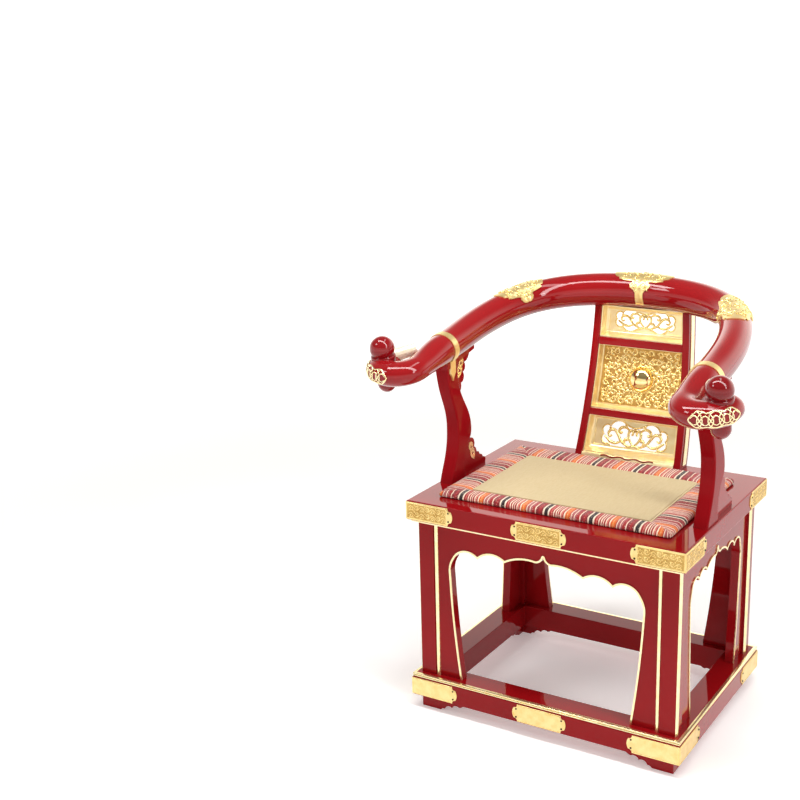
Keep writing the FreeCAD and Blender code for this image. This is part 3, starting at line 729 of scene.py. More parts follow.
# base moulding: a rounded lip with a thin bead under it, as (out, down) pairs
moulding = [(-6.4, 0), (-1.6, 0), (-0.5, -0.35), (0.0, -1.3), (-0.1, -2.4), (-0.8, -3.3), (-1.6, -3.7), (-1.7, -4.3),
            (-1.0, -4.6), (-0.35, -5.2), (-0.15, -6.0), (-0.4, -6.9), (-1.1, -7.5), (-2.2, -7.9), (-6.4, -7.9)]
edgeLow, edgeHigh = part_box("base_edge")
verts = []
for out, down in moulding:
    x = edgeHigh.x + out / 1000
    y0 = edgeLow.y - out / 1000
    y1 = edgeHigh.y + out / 1000
    z = edgeHigh.z + down / 1000
    verts += [(-x, y0, z), (x, y0, z), (x, y1, z), (-x, y1, z)]
mouldMesh = meshFrom("base_moulding", verts, loopFaces(len(moulding), 4), 50)
addPiece("base_moulding", mouldMesh, giltTrim, stands=["base_edge"])
print("gilt trim finished")


# back panels: the plate's bent face, and the drawings on it
back = {"centreY": -757.6, "centreZ": 837.0, "radius": 1016.9, "recess": 26.0, "lean": 0.0445, "footIn": 109.0,
        "footZ": 466.5}


def onPanel(x, z, lift):
    reach = back["radius"] + back["recess"] - lift
    drop = z - back["centreZ"]
    y = back["centreY"] + math.sqrt(reach * reach - drop * drop)
    return seatPoint(x, y, z), Vector((0, back["centreY"] - y, -drop)).normalized()


def insideX(z, margin):
    return back["footIn"] - (z - back["footZ"]) * back["lean"] - margin


middleLow, middleHigh = heights("panel_middle")
middlePanel = {"low": middleLow + 7, "high": middleHigh - 7, "centre": 638.0, "bossClear": 30.0, "columns": 9,
               "rows": 7, "width": 2.5, "bossLeaves": 12, "bossRing": 30.5}


def leafAround(x, z, reach, angle, turn, length, width, bend):
    c, s = spin(angle)
    return leafStroke(x + reach * c, z + reach * s, turn, length, width, bend)


marks = []
rowHeight = (middlePanel["high"] - middlePanel["low"]) / middlePanel["rows"]
for row in range(middlePanel["rows"]):
    z = middlePanel["low"] + rowHeight * (row + 0.5)
    halfWide = insideX(z, 8)
    pitch = 2 * halfWide / middlePanel["columns"]
    for column in range(middlePanel["columns"]):
        x = -halfWide + pitch * (column + 0.5)
        way = 1 if (row + column) % 2 == 0 else -1
        if math.hypot(x, z - middlePanel["centre"]) < middlePanel["bossClear"]:
            continue
        lean = 40 * row + 65 * column
        marks.append(scroll(x, z, pitch * 0.4, 2.2, lean, 1.1 * way, middlePanel["width"]))
        for k in range(3):
            angle = lean + 100 + 120 * k
            marks.append(leafAround(x, z, pitch * 0.42, angle, angle + 50 * way, 9.5, 3.5, -0.9 * way))
            marks.append(leafAround(x, z, pitch * 0.2, angle + 60, angle - 20 * way, 6.0, 2.2, 0.9 * way))
for k in range(middlePanel["bossLeaves"]):
    angle = 30 * k
    marks.append(leafAround(0, middlePanel["centre"], middlePanel["bossRing"], angle, angle + 70, 11, 2.8, 0.9))
kept = []
for points, radii in marks:
    if all(abs(x) < insideX(z, 6.5) and middlePanel["low"] - 2 < z < middlePanel["high"] + 2 for x, z in points):
        kept.append((points, radii))
reliefBag = Bag()
layMarks(reliefBag, kept, onPanel, 0.4, 0.8)
reliefBag.piece("panel_middle_relief", giltRelief)
print("middle panel chased,", len(kept), "strokes")

# boss: polished dome with a beaded foot ring
boss = {"foot": [(30.5, -0.5), (30.6, 0.8), (29.9, 1.7), (28.6, 1.9), (27.9, 1.2)], "radius": 28.0, "start": 1.2,
        "rise": 16.8, "top": (0.2, 18.0), "around": 64}
bossPoint, bossNormal = onPanel(0, middlePanel["centre"], 0)
bossAcross = Vector((1, 0, 0))
bossUp = bossNormal.cross(bossAcross) * -1
bossProfile = list(boss["foot"])
for angle in range(2, 90, 4):
    c, s = spin(angle)
    bossProfile.append((boss["radius"] * c, boss["start"] + boss["rise"] * s))
bossProfile.append(boss["top"])


def onBoss(a, b, w):
    return bossPoint + (bossAcross * a + bossUp * b + bossNormal * w) / 1000


bossMesh = meshFrom("boss_turned", *lathe(bossProfile, boss["around"], onBoss), 50)
addPiece("boss_turned", bossMesh, polishedGilt, ["boss"])

# pierced panels: a flat plate with a cusped opening, S scrolls and a heart standing in it
pierced = {
    # node, middle height, half width and half height of the opening, weight of its strokes
    "panels": [("panel_bottom", 513.0, 73.0, 28.0, 1.08), ("panel_top", 766.0, 66.0, 22.0, 0.92)],
    "drawn": (70.0, 26.0),  # half sizes that the arcs and strokes are drawn at
    "peak": 17,
    "arcs": [(12, 20, 22, 24), (44, 28, 56, 17), (72, 14, 70, 0), (72, -14, 56, -17), (44, -28, 22, -24),
             (12, -20, 0, -17)],
    "strokes": [[(0, -18), (9, -9), (14, 2), (12, 11), (6, 12), (4, 6), (7, 3)],
                [(0, -18), (15, -18), (29, -11), (37, 0), (45, 9), (55, 9), (60, 2), (56, -4), (51, -1)],
                [(12, 11), (21, 17), (31, 16), (36, 10), (32, 5), (28, 8)],
                [(29, -11), (41, -16), (53, -14), (62, -8), (68, -4)],
                [(19, -18), (22, -10), (18, -5), (15, -9)],
                [(21, 17), (22, 23)], [(55, 9), (58, 15)], [(0, 17), (0, 9)]],
    "line": 1.8, "stroke": 2.7, "thick": 2.8, "endGap": 0.5, "sideGap": 0.3,
}


def arcThrough(a, b, c, count):
    # points on the circle through a, b and c, in complex numbers
    a, b, c = (complex(*point) for point in (a, b, c))
    w = (c - a) / (b - a)
    middle = a + (b - a) * (w - abs(w) ** 2) / (w - w.conjugate())
    through, span = (cmath.phase((point - middle) / (a - middle)) % (2 * math.pi) for point in (b, c))
    if through > span:
        span -= 2 * math.pi
    spots = [middle + (a - middle) * cmath.exp(1j * span * i / count) for i in range(1, count + 1)]
    return [(spot.real, spot.imag) for spot in spots]


def cartoucheLine(middleZ, k, h):
    here = (0.0, middleZ + pierced["peak"] * h)
    line = [here]
    for a, b, c, d in pierced["arcs"] + [(-a, -b, -c, -d) for a, b, c, d in pierced["arcs"]]:
        there = (c * k, middleZ + d * h)
        line += arcThrough(here, (a * k, middleZ + b * h), there, 8)
        here = there
    return line


def smoothRun(points, each=7):
    pts = [points[0]] + list(points) + [points[-1]]
    line = []
    for i in range(1, len(pts) - 2):
        p0, p1, p2, p3 = (np.array(p, float) for p in pts[i - 1:i + 3])
        for k in range(each):
            t = k / each
            line.append(tuple(0.5 * (2 * p1 + (p2 - p0) * t + (2 * p0 - 5 * p1 + 4 * p2 - p3) * t ** 2
                                     + (3 * p1 - p0 - 3 * p2 + p3) * t ** 3)))
    return line + [tuple(points[-1])]


def addPlate(node, hole, material):
    low, high = heights(node)
    low, high = low + pierced["endGap"], high - pierced["endGap"]
    lowX, highX = (insideX(z, pierced["sideGap"]) for z in (low, high))
    outline = [(-lowX, low), (lowX, low), (highX, high), (-highX, high)]
    work = bmesh.new()
    for loop in (outline, hole):
        ring = [work.verts.new((x, 0, z)) for x, z in loop]
        for i, vert in enumerate(ring):
            work.edges.new((vert, ring[(i + 1) % len(ring)]))
    bmesh.ops.triangle_fill(work, use_beauty=True, edges=work.edges[:], normal=(0, -1, 0))
    bmesh.ops.subdivide_edges(work, edges=work.edges[:], cuts=2, use_grid_fill=True)
    behind = bmesh.ops.extrude_face_region(work, geom=work.faces[:])
    for item in behind["geom"]:
        if isinstance(item, bmesh.types.BMVert):
            item.co.y = -pierced["thick"]
    for vert in work.verts:
        vert.co = onPanel(vert.co.x, vert.co.z, vert.co.y)[0]
    bmesh.ops.recalc_face_normals(work, faces=work.faces)
    mesh = bpy.data.meshes.new(node + "_plate")
    work.to_mesh(mesh)
    work.free()
    addPiece(node + "_plate", smoothed(mesh, 35), material, stands=[node])


# the middle panel's plate carries the painted shade of the sunk ground under the relief
addPlate("panel_middle", [], chasedGroundShade)
piercedBag = Bag()
for node, middleZ, half, height, weight in pierced["panels"]:
    k, h = half / pierced["drawn"][0], height / pierced["drawn"][1]
    line = cartoucheLine(middleZ, k, h)
    addPlate(node, line[:-1], flatGilt)
    layMarks(piercedBag, [evenLine(line, pierced["line"])], onPanel, 0.3, 0.8)
    for sign in (1, -1):
        for stroke in pierced["strokes"]:
            points = [(sign * k * x, middleZ + h * z) for x, z in smoothRun(stroke)]
            swell = [math.sin(math.pi * i / (len(points) - 1)) for i in range(len(points))]
            radii = [weight * pierced["stroke"] * (0.7 + 0.5 * s) for s in swell]
            layMarks(piercedBag, [(points, radii)], onPanel, -1.0, 0.9)
piercedBag.piece("pierced_scrolls", giltRelief)

# red wavy fillet on a gilt angle at the foot of the lower panel
fillet = {"half": 62.0, "z": 475.6, "rise": 1.3, "period": 36.0, "thick": 1.5, "lift": 27.4, "margin": 0.6,
          "angle": [(477.2, 19.0), (477.2, 26.2), (476.9, 26.6), (476.4, 26.8), (468.0, 26.8), (468.0, 26.1),
                    (476.0, 26.0), (476.3, 19.0)]}  # height and lift round the section
verts = []
for sign in (-1, 1):
    verts += [onPanel(sign * insideX(z, fillet["margin"]), z, lift)[0] for z, lift in fillet["angle"]]
addPiece("panel_foot", meshFrom("panel_foot", verts, tubeFaces(2, len(fillet["angle"])), 45), flatGilt)
filletBag = Bag()
bar = wave(-fillet["half"], fillet["half"], fillet["z"], fillet["rise"], fillet["period"], fillet["thick"])
layMarks(filletBag, [bar], onPanel, fillet["lift"], 1.0, 8)
filletBag.piece("panel_fillet", redLacquer, "red_lacquer")

# gilt coves from the frame down to the plates, as (inset, lift) pairs
coves = {
    "deep": [(0.3, 21), (2.2, 20.6), (3.0, 17), (4.4, 11), (6.8, 6), (10.5, 2.6), (12.5, 2.4), (13.2, 0.2), (0.3, 0.2)],
    "steep": [(0.3, 21), (1.8, 20.6), (2.3, 14), (3.2, 7), (4.6, 2.8), (6.2, 2.4), (6.8, 0.2), (0.3, 0.2)],
    "of": {"panel_bottom": "deep", "panel_top": "deep", "panel_middle": "steep"},
    "steps": 6,
}
coveBag = Bag()
for node, kind in coves["of"].items():
    low, high = heights(node)
    verts = []
    for inset, lift in coves[kind]:
        z0, z1 = low + inset, high - inset
        shares = [i / coves["steps"] for i in range(coves["steps"] + 1)]
        ring = [(z0 + (z1 - z0) * share, 1) for share in shares] + [(z1 + (z0 - z1) * share, -1) for share in shares]
        verts += [onPanel(sign * insideX(z, inset), z, lift)[0] for z, sign in ring]
    coveBag.add(verts, loopFaces(len(coves[kind]), len(ring)))
coveBag.piece("panel_coves", flatGilt, sharpAngle=45)
print("pierced panels dressed")


# chased plates: vine on the slab plates, a raised border on all of them
plates = {
    "height": 38.0, "proud": 1.4, "above": 2, "vine": 0.62, "vineRow": 7.2, "vineHeight": 14, "rim": 0.8,
    "lift": 0.1, "flat": 0.6, "sides": 5, "groundHalf": 15, "groundLifts": (0.08, -0.4), "inset": 2.2,
    "square": [(0, 16.8)],
    "cusped": [(11, 16.8), (8.6, 12.2), (4.4, 10.2), (1.0, 5), (0, 0)],  # end of a plate from its top to its middle
    "corner": {"vine": (5, 94.0), "ground": (2, 93), "rim": (-1.0, 108.0), "ends": ("square", "cusped")},
    "middle": {"vine": (-44, 44), "ground": (-46, 46), "rim": (-60, 60), "ends": ("cusped", "cusped")},
}
plateBag = Bag()
groundBag = Bag()


def plateRim(kind):
    line = []
    for x, way, end in zip(plates[kind]["rim"], (1, -1), plates[kind]["ends"]):
        upper = [(x + way * (plates["inset"] + a), b) for a, b in plates[end]]
        whole = upper + [(a, -b) for a, b in reversed(upper) if b]
        line += whole if way > 0 else whole[::-1]
    return line + line[:1]


def dressPlate(kind, origin, across, out, chased):
    def place(a, b, lift):
        return origin + (across * a + Vector((0, 0, 1)) * b + out * lift) / 1000, out

    marks = []
    if chased:
        for z in (plates["vineRow"], -plates["vineRow"]):
            marks += scrollBand(*plates[kind]["vine"], z, plates["vineHeight"], plates["vine"])
        x0, x1 = plates[kind]["ground"]
        half = plates["groundHalf"]
        corners = [(x0, -half), (x1, -half), (x1, half), (x0, half)]
        groundBag.add([place(a, b, lift)[0] for lift in plates["groundLifts"] for a, b in corners], tubeFaces(2, 4))
    marks.append(evenLine(plateRim(kind), plates["rim"]))
    layMarks(plateBag, marks, place, plates["lift"], plates["flat"], plates["sides"])


for part in ("seat_rail_", "base_rail_"):
    low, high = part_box(part + "front")
    halfX = high.x * 1000
    halfY = (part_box(part + "back")[1].y - low.y) * 500
    chased = part == "seat_rail_"
    mid = low.z * 1000 + plates["above"] + plates["height"] / 2
    for sx in (1, -1):
        for sy in (1, -1):
            frontSpot = seatPoint(sx * halfX, sy * (halfY + plates["proud"]), mid)
            sideSpot = seatPoint(sx * (halfX + plates["proud"]), sy * halfY, mid)
            dressPlate("corner", frontSpot, Vector((-sx, 0, 0)), Vector((0, sy, 0)), chased)
            dressPlate("corner", sideSpot, Vector((0, -sy, 0)), Vector((sx, 0, 0)), chased)
    for sy in (1, -1):
        spot = seatPoint(0, sy * (halfY + plates["proud"]), mid)
        dressPlate("middle", spot, Vector((1, 0, 0)), Vector((0, sy, 0)), chased)
plateBag.piece("plate_chasing", giltRelief)
# the ground sheet under the vines carries the painted shade of the sunk ground
groundBag.piece("plate_ground", plateGroundShade)

# nails: domes on the places of the solids' nails
nail = {"radius": 0.0021, "segments": 8, "rings": 5}


def islands(work):
    seen = set()
    groups = []
    for vert in work.verts:
        stack = [vert]
        group = []
        while stack:
            here = stack.pop()
            if here.index not in seen:
                seen.add(here.index)
                group.append(here.co.copy())
                stack += [edge.other_vert(here) for edge in here.link_edges]
        if group:
            groups.append(group)
    return groups


def nailTree():
    # one dome on every point, its Z along the point's facing
    tree, given = startTree("round nails", [("Radius", "NodeSocketFloat", nail["radius"])])
    ball = addNode(tree, "GeometryNodeMeshUVSphere", {"Segments": nail["segments"], "Rings": nail["rings"],
                                                      "Radius": given["Radius"]})
    facing = addNode(tree, "GeometryNodeInputNamedAttribute", {"Name": "facing"}, data_type="FLOAT_VECTOR")
    align = addNode(tree, "FunctionNodeAlignRotationToVector", {"Vector": facing.outputs["Attribute"]}, axis="Z")
    stamps = addNode(tree, "GeometryNodeInstanceOnPoints", {
        "Points": given["Geometry"], "Instance": ball.outputs["Mesh"], "Rotation": align.outputs["Rotation"]})
    return endTree(tree, stamps, darkNail)


nailSolids = copyOf("plate_nails", False)
spots = []
facings = []
for group in islands(nailSolids):
    low, high = (Vector([pick(c[k] for c in group) for k in range(3)]) for pick in (min, max))
    axis = 0 if high.x - low.x < high.y - low.y else 1
    spot = (low + high) / 2
    facing = [0, 0, 0]
    facing[axis] = math.copysign(1, spot[axis])
    spot[axis] = low[axis] if facing[axis] > 0 else high[axis]
    spots.append(spot)
    facings += facing
nailSolids.free()
nailBase = rawMesh("nailSpots", spots)
nailBase.attributes.new("facing", "FLOAT_VECTOR", "POINT").data.foreach_set("vector", facings)
nails = runTree("plate_nail_heads", nailBase, nailTree(), {"Radius": nail["radius"]})
settle(nails, "chair", ["plate_nails"])
print("plates chased,", len(spots), "nails")


# rail covers: curls laid on a rippled sheet round the rail
covers = {
    # half length along the rail at each angle from its crest, inner side first
    "joint": [(-80, 9), (-74, 15), (-64, 19), (-56, 17), (-51, 24), (-48, 40), (-42, 50), (-36, 47), (-30, 56),
              (-15, 60), (0, 62), (15, 60), (30, 56), (36, 47), (42, 50), (48, 40), (51, 24), (56, 17), (64, 19),
              (74, 15), (80, 9)],
    "centre": [(-128, 10), (-100, 9.5), (-86, 10), (-78, 14), (-71, 22), (-63, 25.5), (-56, 23), (-51, 18), (-48, 20),
               (-46, 38), (-40, 54), (-34, 52), (-27, 63), (-12, 67), (5, 66), (20, 58), (32, 42), (40, 22)],
    # along the rail, angle and way of each curl
    "curls": {"joint": [(0, 0, 1), (-36, -18, 1), (36, -18, -1), (-36, 18, -1), (36, 18, 1), (-15, -34, -1),
                        (16, -34, 1), (-15, 34, 1), (16, 34, -1), (0, -60, 1), (0, 60, -1)],
              "centre": [(-40, -22, 1), (40, -22, -1), (-14, -18, -1), (14, -18, 1), (-10, -62, 1), (10, -62, -1),
                         (0, 14, 1)]},
    "rows": 70,
    "columns": 26,
    "stand": 2.0,
    "under": -1.9,
    "ripple": (0.42, 7.5, 0.1, 1.1),  # waves along and round the rail, lowest lift and rise
    "round": 36,  # radius that turns the curls' millimetres into angles
}


def onRailSkin(s, angle, lift):
    centre, along = onRail(s)
    across, up = roundAxes(along)
    c, turn = spin(angle)
    normal = across * turn + up * c
    return seatPoint(*(centre + normal * (railRadius(s) + covers["stand"] + lift))), Vector(normal)


def coverPatch(bag, middle, outline):
    angles, halves = zip(*outline)
    rows = covers["rows"]
    columns = covers["columns"]
    waveAlong, waveRound, lowest, rise = covers["ripple"]
    top = []
    under = []
    for i in range(rows):
        angle = angles[0] + (angles[-1] - angles[0]) * i / (rows - 1)
        half = np.interp(angle, angles, halves)
        for j in range(columns):
            s = middle + half * (2 * j / (columns - 1) - 1)
            swell = 0.5 + 0.5 * math.sin((s - middle) * waveAlong) * math.cos(math.radians(angle) * waveRound)
            edge = min(1.0, 4 * j / columns, 4 * (columns - 1 - j) / columns, i / 5, (rows - 1 - i) / 5)
            top.append(onRailSkin(s, angle, lowest + rise * swell * edge)[0])
            under.append(onRailSkin(s, angle, covers["under"])[0])
    rim = gridRim(rows, columns)
    below = len(top)
    sheet = gridFaces(rows, columns, False)
    faces = sheet + [tuple(below + k for k in reversed(face)) for face in sheet]
    faces += [(a, below + a, below + b, b) for a, b in zip(rim, rim[1:] + rim[:1])]
    bag.add(top + under, faces)


coverBag = Bag()
curlBag = Bag()
for kind, middle in (("joint", rail["joint"]), ("joint", -rail["joint"]), ("centre", 0.0)):
    coverPatch(coverBag, middle, covers[kind])
    for s, angle, way in covers["curls"][kind]:
        marks = [(scroll(0, 0, 9.5, 1.5, 40 * way + s, 1.25 * way, 1.5), 0.9)]
        for k in range(3):
            turn = 2.1 * k + s
            leaf = leafStroke(9 * math.cos(turn), 9 * math.sin(turn), math.degrees(turn) + 60 * way, 7, 1.7)
            marks.append((leaf, 0.8))
        for (points, radii), lift in marks:
            curl = [(middle + s + a, angle + math.degrees(b / covers["round"])) for a, b in points]
            layMarks(curlBag, [(curl, radii)], onRailSkin, lift, 0.9)
coverBag.piece("rail_covers", giltPlate, stands=["joint_covers", "centre_cover"])
curlBag.piece("cover_chasing", giltRelief)
print("rail covers chased")


# seat mat: padded striped border round a rush field
mat = {
    "cell": 0.007, "puff": 0.0022, "corner": 0.008, "repeat": 0.096, "full": 0.86, "fill": 0.6, "frames": 20,
    "start": 5.0, "shift": 0.023,  # where the stripes start, and their move from strip to strip
    "padding": {"quality": 6, "mass": 0.25, "use_pressure": True, "uniform_pressure_force": 4.0},
    # across the border: share of the width from outside to inside, share of the height
    "section": [(0.93, 0.0), (0.7, 0.0), (0.45, 0.0), (0.2, 0.0), (0.07, 0.04), (0.015, 0.22), (0.0, 0.45),
                (0.015, 0.7), (0.06, 0.88), (0.13, 0.95), (0.25, 0.97), (0.4, 0.97), (0.55, 0.97), (0.7, 0.97),
                (0.83, 0.96), (0.92, 0.93), (0.975, 0.86), (1.0, 0.75), (1.0, 0.4), (0.985, 0.08)],
    "held": (0, 1, 2, 3, 4, 16, 17, 18, 19),  # points of the section that stay on the seat and in the seam
}
matLow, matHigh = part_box("mat_border")
rushLow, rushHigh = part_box("mat_rush")


def stripedCloth():
    finish, tree, shader = startMaterial("striped cloth")
    uv = addNode(tree, "ShaderNodeUVMap", uv_map="weave").outputs["UV"]
    split = addNode(tree, "ShaderNodeSeparateXYZ", {"Vector": uv})
    wobble = addRange(tree, addNoise(tree, uv, 60.0, 2.0), -0.0012, 0.0012)
    along = addMath(tree, "ADD", split.outputs["X"], wobble)
    wrap = addMath(tree, "MODULO", addMath(tree, "MULTIPLY", along, 1 / mat["repeat"]), 1.0)
    black = tone(40, 26, 26)
    cream = tone(246, 228, 204)
    red = tone(170, 34, 36)
    wine = tone(134, 26, 34)
    orange = tone(224, 104, 36)
    amber = tone(232, 150, 74)
    rose = tone(216, 120, 104)
    mauve = tone(172, 92, 96)
    stops = [(0.0, black), (0.045, cream), (0.08, red), (0.125, rose), (0.138, red), (0.168, cream), (0.192, red),
             (0.226, cream), (0.25, red), (0.275, cream), (0.292, red), (0.325, cream), (0.348, rose), (0.385, red),
             (0.41, cream), (0.436, orange), (0.475, amber), (0.5, orange), (0.54, red), (0.56, cream), (0.582, mauve),
             (0.622, red), (0.634, cream), (0.655, mauve), (0.69, red), (0.755, cream), (0.778, wine), (0.84, red),
             (0.885, wine), (0.93, cream), (0.968, black)]
    stripes = addRamp(tree, wrap, stops, "CONSTANT")
    # small woven figures inside the coloured stripes
    figure = addNode(tree, "ShaderNodeTexVoronoi", {"Vector": uv, "Scale": 230.0, "Randomness": 0.7})
    spot = addRamp(tree, figure.outputs["Distance"], [(0.16, (1, 1, 1, 1)), (0.3, (0, 0, 0, 1))])
    mix = addNode(tree, "ShaderNodeMix", {"Factor": addRange(tree, spot, 0.0, 0.5), "A": stripes, "B": cream},
                  data_type="RGBA", blend_type="MIX")
    # ribbed weave
    ribs = addNode(tree, "ShaderNodeTexWave", {"Vector": uv, "Scale": 260.0, "Distortion": 1.2}, bands_direction="Y")
    feed(tree, shader, {"Base Color": mix.outputs["Result"], "Normal": addBump(tree, ribs.outputs["Fac"], 0.0003, 0.7),
                        "Roughness": 0.82, "Sheen Weight": 0.25})
    return finish


def rushWeave():
    finish, tree, shader = startMaterial("rush")
    straw = addNoise(tree, stretched(tree, (320.0, 60.0, 60.0)), 1.0, 4.0, 0.6)
    stops = [(0.28, tone(206, 188, 146)), (0.5, tone(209, 192, 152)), (0.75, tone(213, 197, 158))]
    cross = addNode(tree, "ShaderNodeTexWave", {"Vector": objectPlace(tree), "Scale": 26.0, "Distortion": 0.8},
                    bands_direction="Y")
    feed(tree, shader, {"Base Color": addRamp(tree, straw, stops), "Roughness": 0.7,
                        "Normal": addBump(tree, cross.outputs["Fac"], 0.0002, 0.4)})
    return finish


clothMat = stripedCloth()
rushMat = rushWeave()


def cornersOf(low, high):
    return [(low.x, low.y), (high.x, low.y), (high.x, high.y), (low.x, high.y)]


def roundCorner(x, y):
    r = mat["corner"]
    cx = max(matLow.x + r, min(matHigh.x - r, x))
    cy = max(matLow.y + r, min(matHigh.y - r, y))
    dx = x - cx
    dy = y - cy
    far = math.hypot(dx, dy)
    if dx and dy and far > r:
        return cx + dx * r / far, cy + dy * r / far
    return x, y


outer = cornersOf(matLow, matHigh)
inner = cornersOf(rushLow, rushHigh)
verts = []
rowSides = []
for side in range(4):
    a, b = outer[side], outer[(side + 1) % 4]
    c, d = inner[side], inner[(side + 1) % 4]
    cells = int(math.hypot(b[0] - a[0], b[1] - a[1]) / mat["cell"])
    for i in range(cells):
        t = i / cells
        rowSides.append(side)
        for w, h in mat["section"]:
            ox, oy = a[0] + (b[0] - a[0]) * t, a[1] + (b[1] - a[1]) * t
            ix, iy = c[0] + (d[0] - c[0]) * t, c[1] + (d[1] - c[1]) * t
            x, y = roundCorner(ox + (ix - ox) * w, oy + (iy - oy) * w)
            verts.append((x, y, matLow.z + (matHigh.z - matLow.z) * h * mat["full"]))
rows = len(rowSides)
columns = len(mat["section"])
faces = []
uvs = []
for i, side in enumerate(rowSides):
    k = (i + 1) % rows
    for j in range(columns):
        m = (j + 1) % columns
        faces.append((i * columns + j, k * columns + j, k * columns + m, i * columns + m))
        for vertex in faces[-1]:
            x, y, z = verts[vertex]
            along = (x, y, -x, -y)[side] + mat["start"] + mat["shift"] * side  # stripes don't meet at the corners
            uvs.append((along, (y, -x, -y, x)[side] + z))
borderMesh = rawMesh("mat_border_cloth", verts, faces)
layer = borderMesh.uv_layers.new(name="weave")
for i, pair in enumerate(uvs):
    layer.data[i].uv = pair
faceOut(borderMesh)
border = makeObject("mat_border_cloth", borderMesh, clothMat)


def puffUp(piece, held):
    # pressure from inside swells the padding
    rest = [v.co.copy() for v in piece.data.vertices]
    group = piece.vertex_groups.new(name="held")
    group.add(held, 1.0, "REPLACE")
    cloth = piece.modifiers.new("padding", "CLOTH")
    for key, value in mat["padding"].items():
        setattr(cloth.settings, key, value)
    cloth.settings.vertex_group_mass = "held"
    cloth.settings.effector_weights.gravity = 0.0
    cloth.point_cache.frame_start = 1
    cloth.point_cache.frame_end = mat["frames"]
    for step in range(1, mat["frames"] + 1):
        scene.frame_set(step)
    moved = evaluated(piece)
    after = [v.co.copy() for v in moved.vertices]
    piece.modifiers.remove(cloth)
    piece.vertex_groups.clear()
    bpy.data.meshes.remove(moved)
    scene.frame_set(1)
    far = 0.0
    for vertex, start, end in zip(piece.data.vertices, rest, after):
        move = end - start
        if move.length > mat["puff"]:
            move *= mat["puff"] / move.length
        far = max(far, move.length)
        spot = start + move
        spot.z = max(matLow.z, min(matHigh.z, spot.z))
        vertex.co = spot
    print("border puffed by", round(far * 1000, 2), "mm")


puffUp(border, [i * columns + j for i in range(rows) for j in mat["held"]])
borderMesh.shade_smooth()
finer = border.modifiers.new("finer", "SUBSURF")
finer.levels = 1
finer.render_levels = 1
settle(border, "mat", ["mat_border"])

# rush field: a low pad with straws laid side by side
rush = {"pitch": 0.0026, "straw": 0.0015, "seed": 7, "cells": (40, 26), "edge": 0.8, "crown": 0.08, "fill": 0.95,
        "strawLevel": 0.88, "startX": 0.0018, "startY": 0.0006, "spareX": 0.002, "spareY": 0.0012, "bends": 14,
        "sides": 6, "smallest": (0.85, 1.0, 0.72)}
rushSize = rushHigh - rushLow
nx, ny = rush["cells"]
padVerts = []
for j in range(ny + 1):
    for i in range(nx + 1):
        a = i / nx
        b = j / ny
        crown = (1 - (2 * a - 1) ** 8) * (1 - (2 * b - 1) ** 8)
        x = rushLow.x + rushSize.x * a
        y = rushLow.y + rushSize.y * b
        padVerts.append((x, y, rushLow.z + rushSize.z * (rush["edge"] + rush["crown"] * crown)))
padFaces = gridFaces(ny + 1, nx + 1, False)
top = len(padVerts)
rim = gridRim(ny + 1, nx + 1)
count = len(rim)
padVerts += [(padVerts[i][0], padVerts[i][1], rushLow.z) for i in rim]
padFaces += [(rim[i], rim[(i + 1) % count], top + (i + 1) % count, top + i) for i in range(count)]
padFaces.append(tuple(range(top, top + count)))
pad = addPiece("mat_rush_pad", meshFrom("mat_rush_pad", padVerts, padFaces, 50), rushMat, ["mat_rush"], "mat")


def strawTree():
    tree, given = startTree("rush straws", [("Length", "NodeSocketFloat", 0.25), ("Straw", "NodeSocketFloat", 0.001),
                                            ("Seed", "NodeSocketInt", rush["seed"])])
    line = addNode(tree, "GeometryNodeCurvePrimitiveLine",
                   {"Start": (0, 0, 0), "Direction": (0, 1, 0), "Length": given["Length"]}, mode="DIRECTION")
    bends = addNode(tree, "GeometryNodeResampleCurve", {"Curve": line.outputs["Curve"], "Count": rush["bends"]})
    profile = addNode(tree, "GeometryNodeCurvePrimitiveCircle", {"Resolution": rush["sides"], "Radius": given["Straw"]})
    solid = addNode(tree, "GeometryNodeCurveToMesh", {
        "Curve": bends.outputs["Curve"], "Profile Curve": profile.outputs["Curve"], "Fill Caps": True})
    sizes = {"Min": rush["smallest"], "Max": (1.0, 1.0, 1.0), "Seed": given["Seed"]}
    vary = addNode(tree, "FunctionNodeRandomValue", sizes, data_type="FLOAT_VECTOR")
    stamps = addNode(tree, "GeometryNodeInstanceOnPoints", {
        "Points": given["Geometry"], "Instance": solid.outputs["Mesh"], "Scale": vary.outputs["Value"]})
    return endTree(tree, stamps, rushMat)


strawCount = int((rushSize.x - rush["spareX"]) / rush["pitch"])
strawX = rushLow.x + rush["startX"]
strawY = rushLow.y + rush["startY"]
strawZ = rushLow.z + rushSize.z * rush["strawLevel"]
strawBase = rawMesh("strawStarts", [(strawX + rush["pitch"] * i, strawY, strawZ) for i in range(strawCount)])
straws = runTree("mat_rush_straws", strawBase, strawTree(),
                 {"Length": rushSize.y - rush["spareY"], "Straw": rush["straw"], "Seed": rush["seed"]})
settle(straws, "mat")
print("mat made,", strawCount, "straws")


# floor, light and camera
def glowingFloorFinish():
    finish, tree, shader = startMaterial("pale floor")
    place = objectPlace(tree)
    clouds = addNoise(tree, place, 1.5, 2.0)
    # painted light: the floor glows, faintly near the chair, which lifts the shadow under it, and fully far off, as a
    # lit sweep does, so no horizon shows
    reach = addNode(tree, "ShaderNodeVectorMath", {0: place}, operation="LENGTH")
    feed(tree, shader, {
        "Base Color": addRamp(tree, clouds, [(0.3, (0.95, 0.95, 0.95, 1)), (0.7, (0.97, 0.97, 0.965, 1))]),
        "Roughness": 0.9,
        "Emission Color": (1, 1, 1, 1),
        "Emission Strength": addRange(tree, reach.outputs["Value"], 0.28, 1.0, 1.6, 4.5, "SMOOTHSTEP")})
    return finish


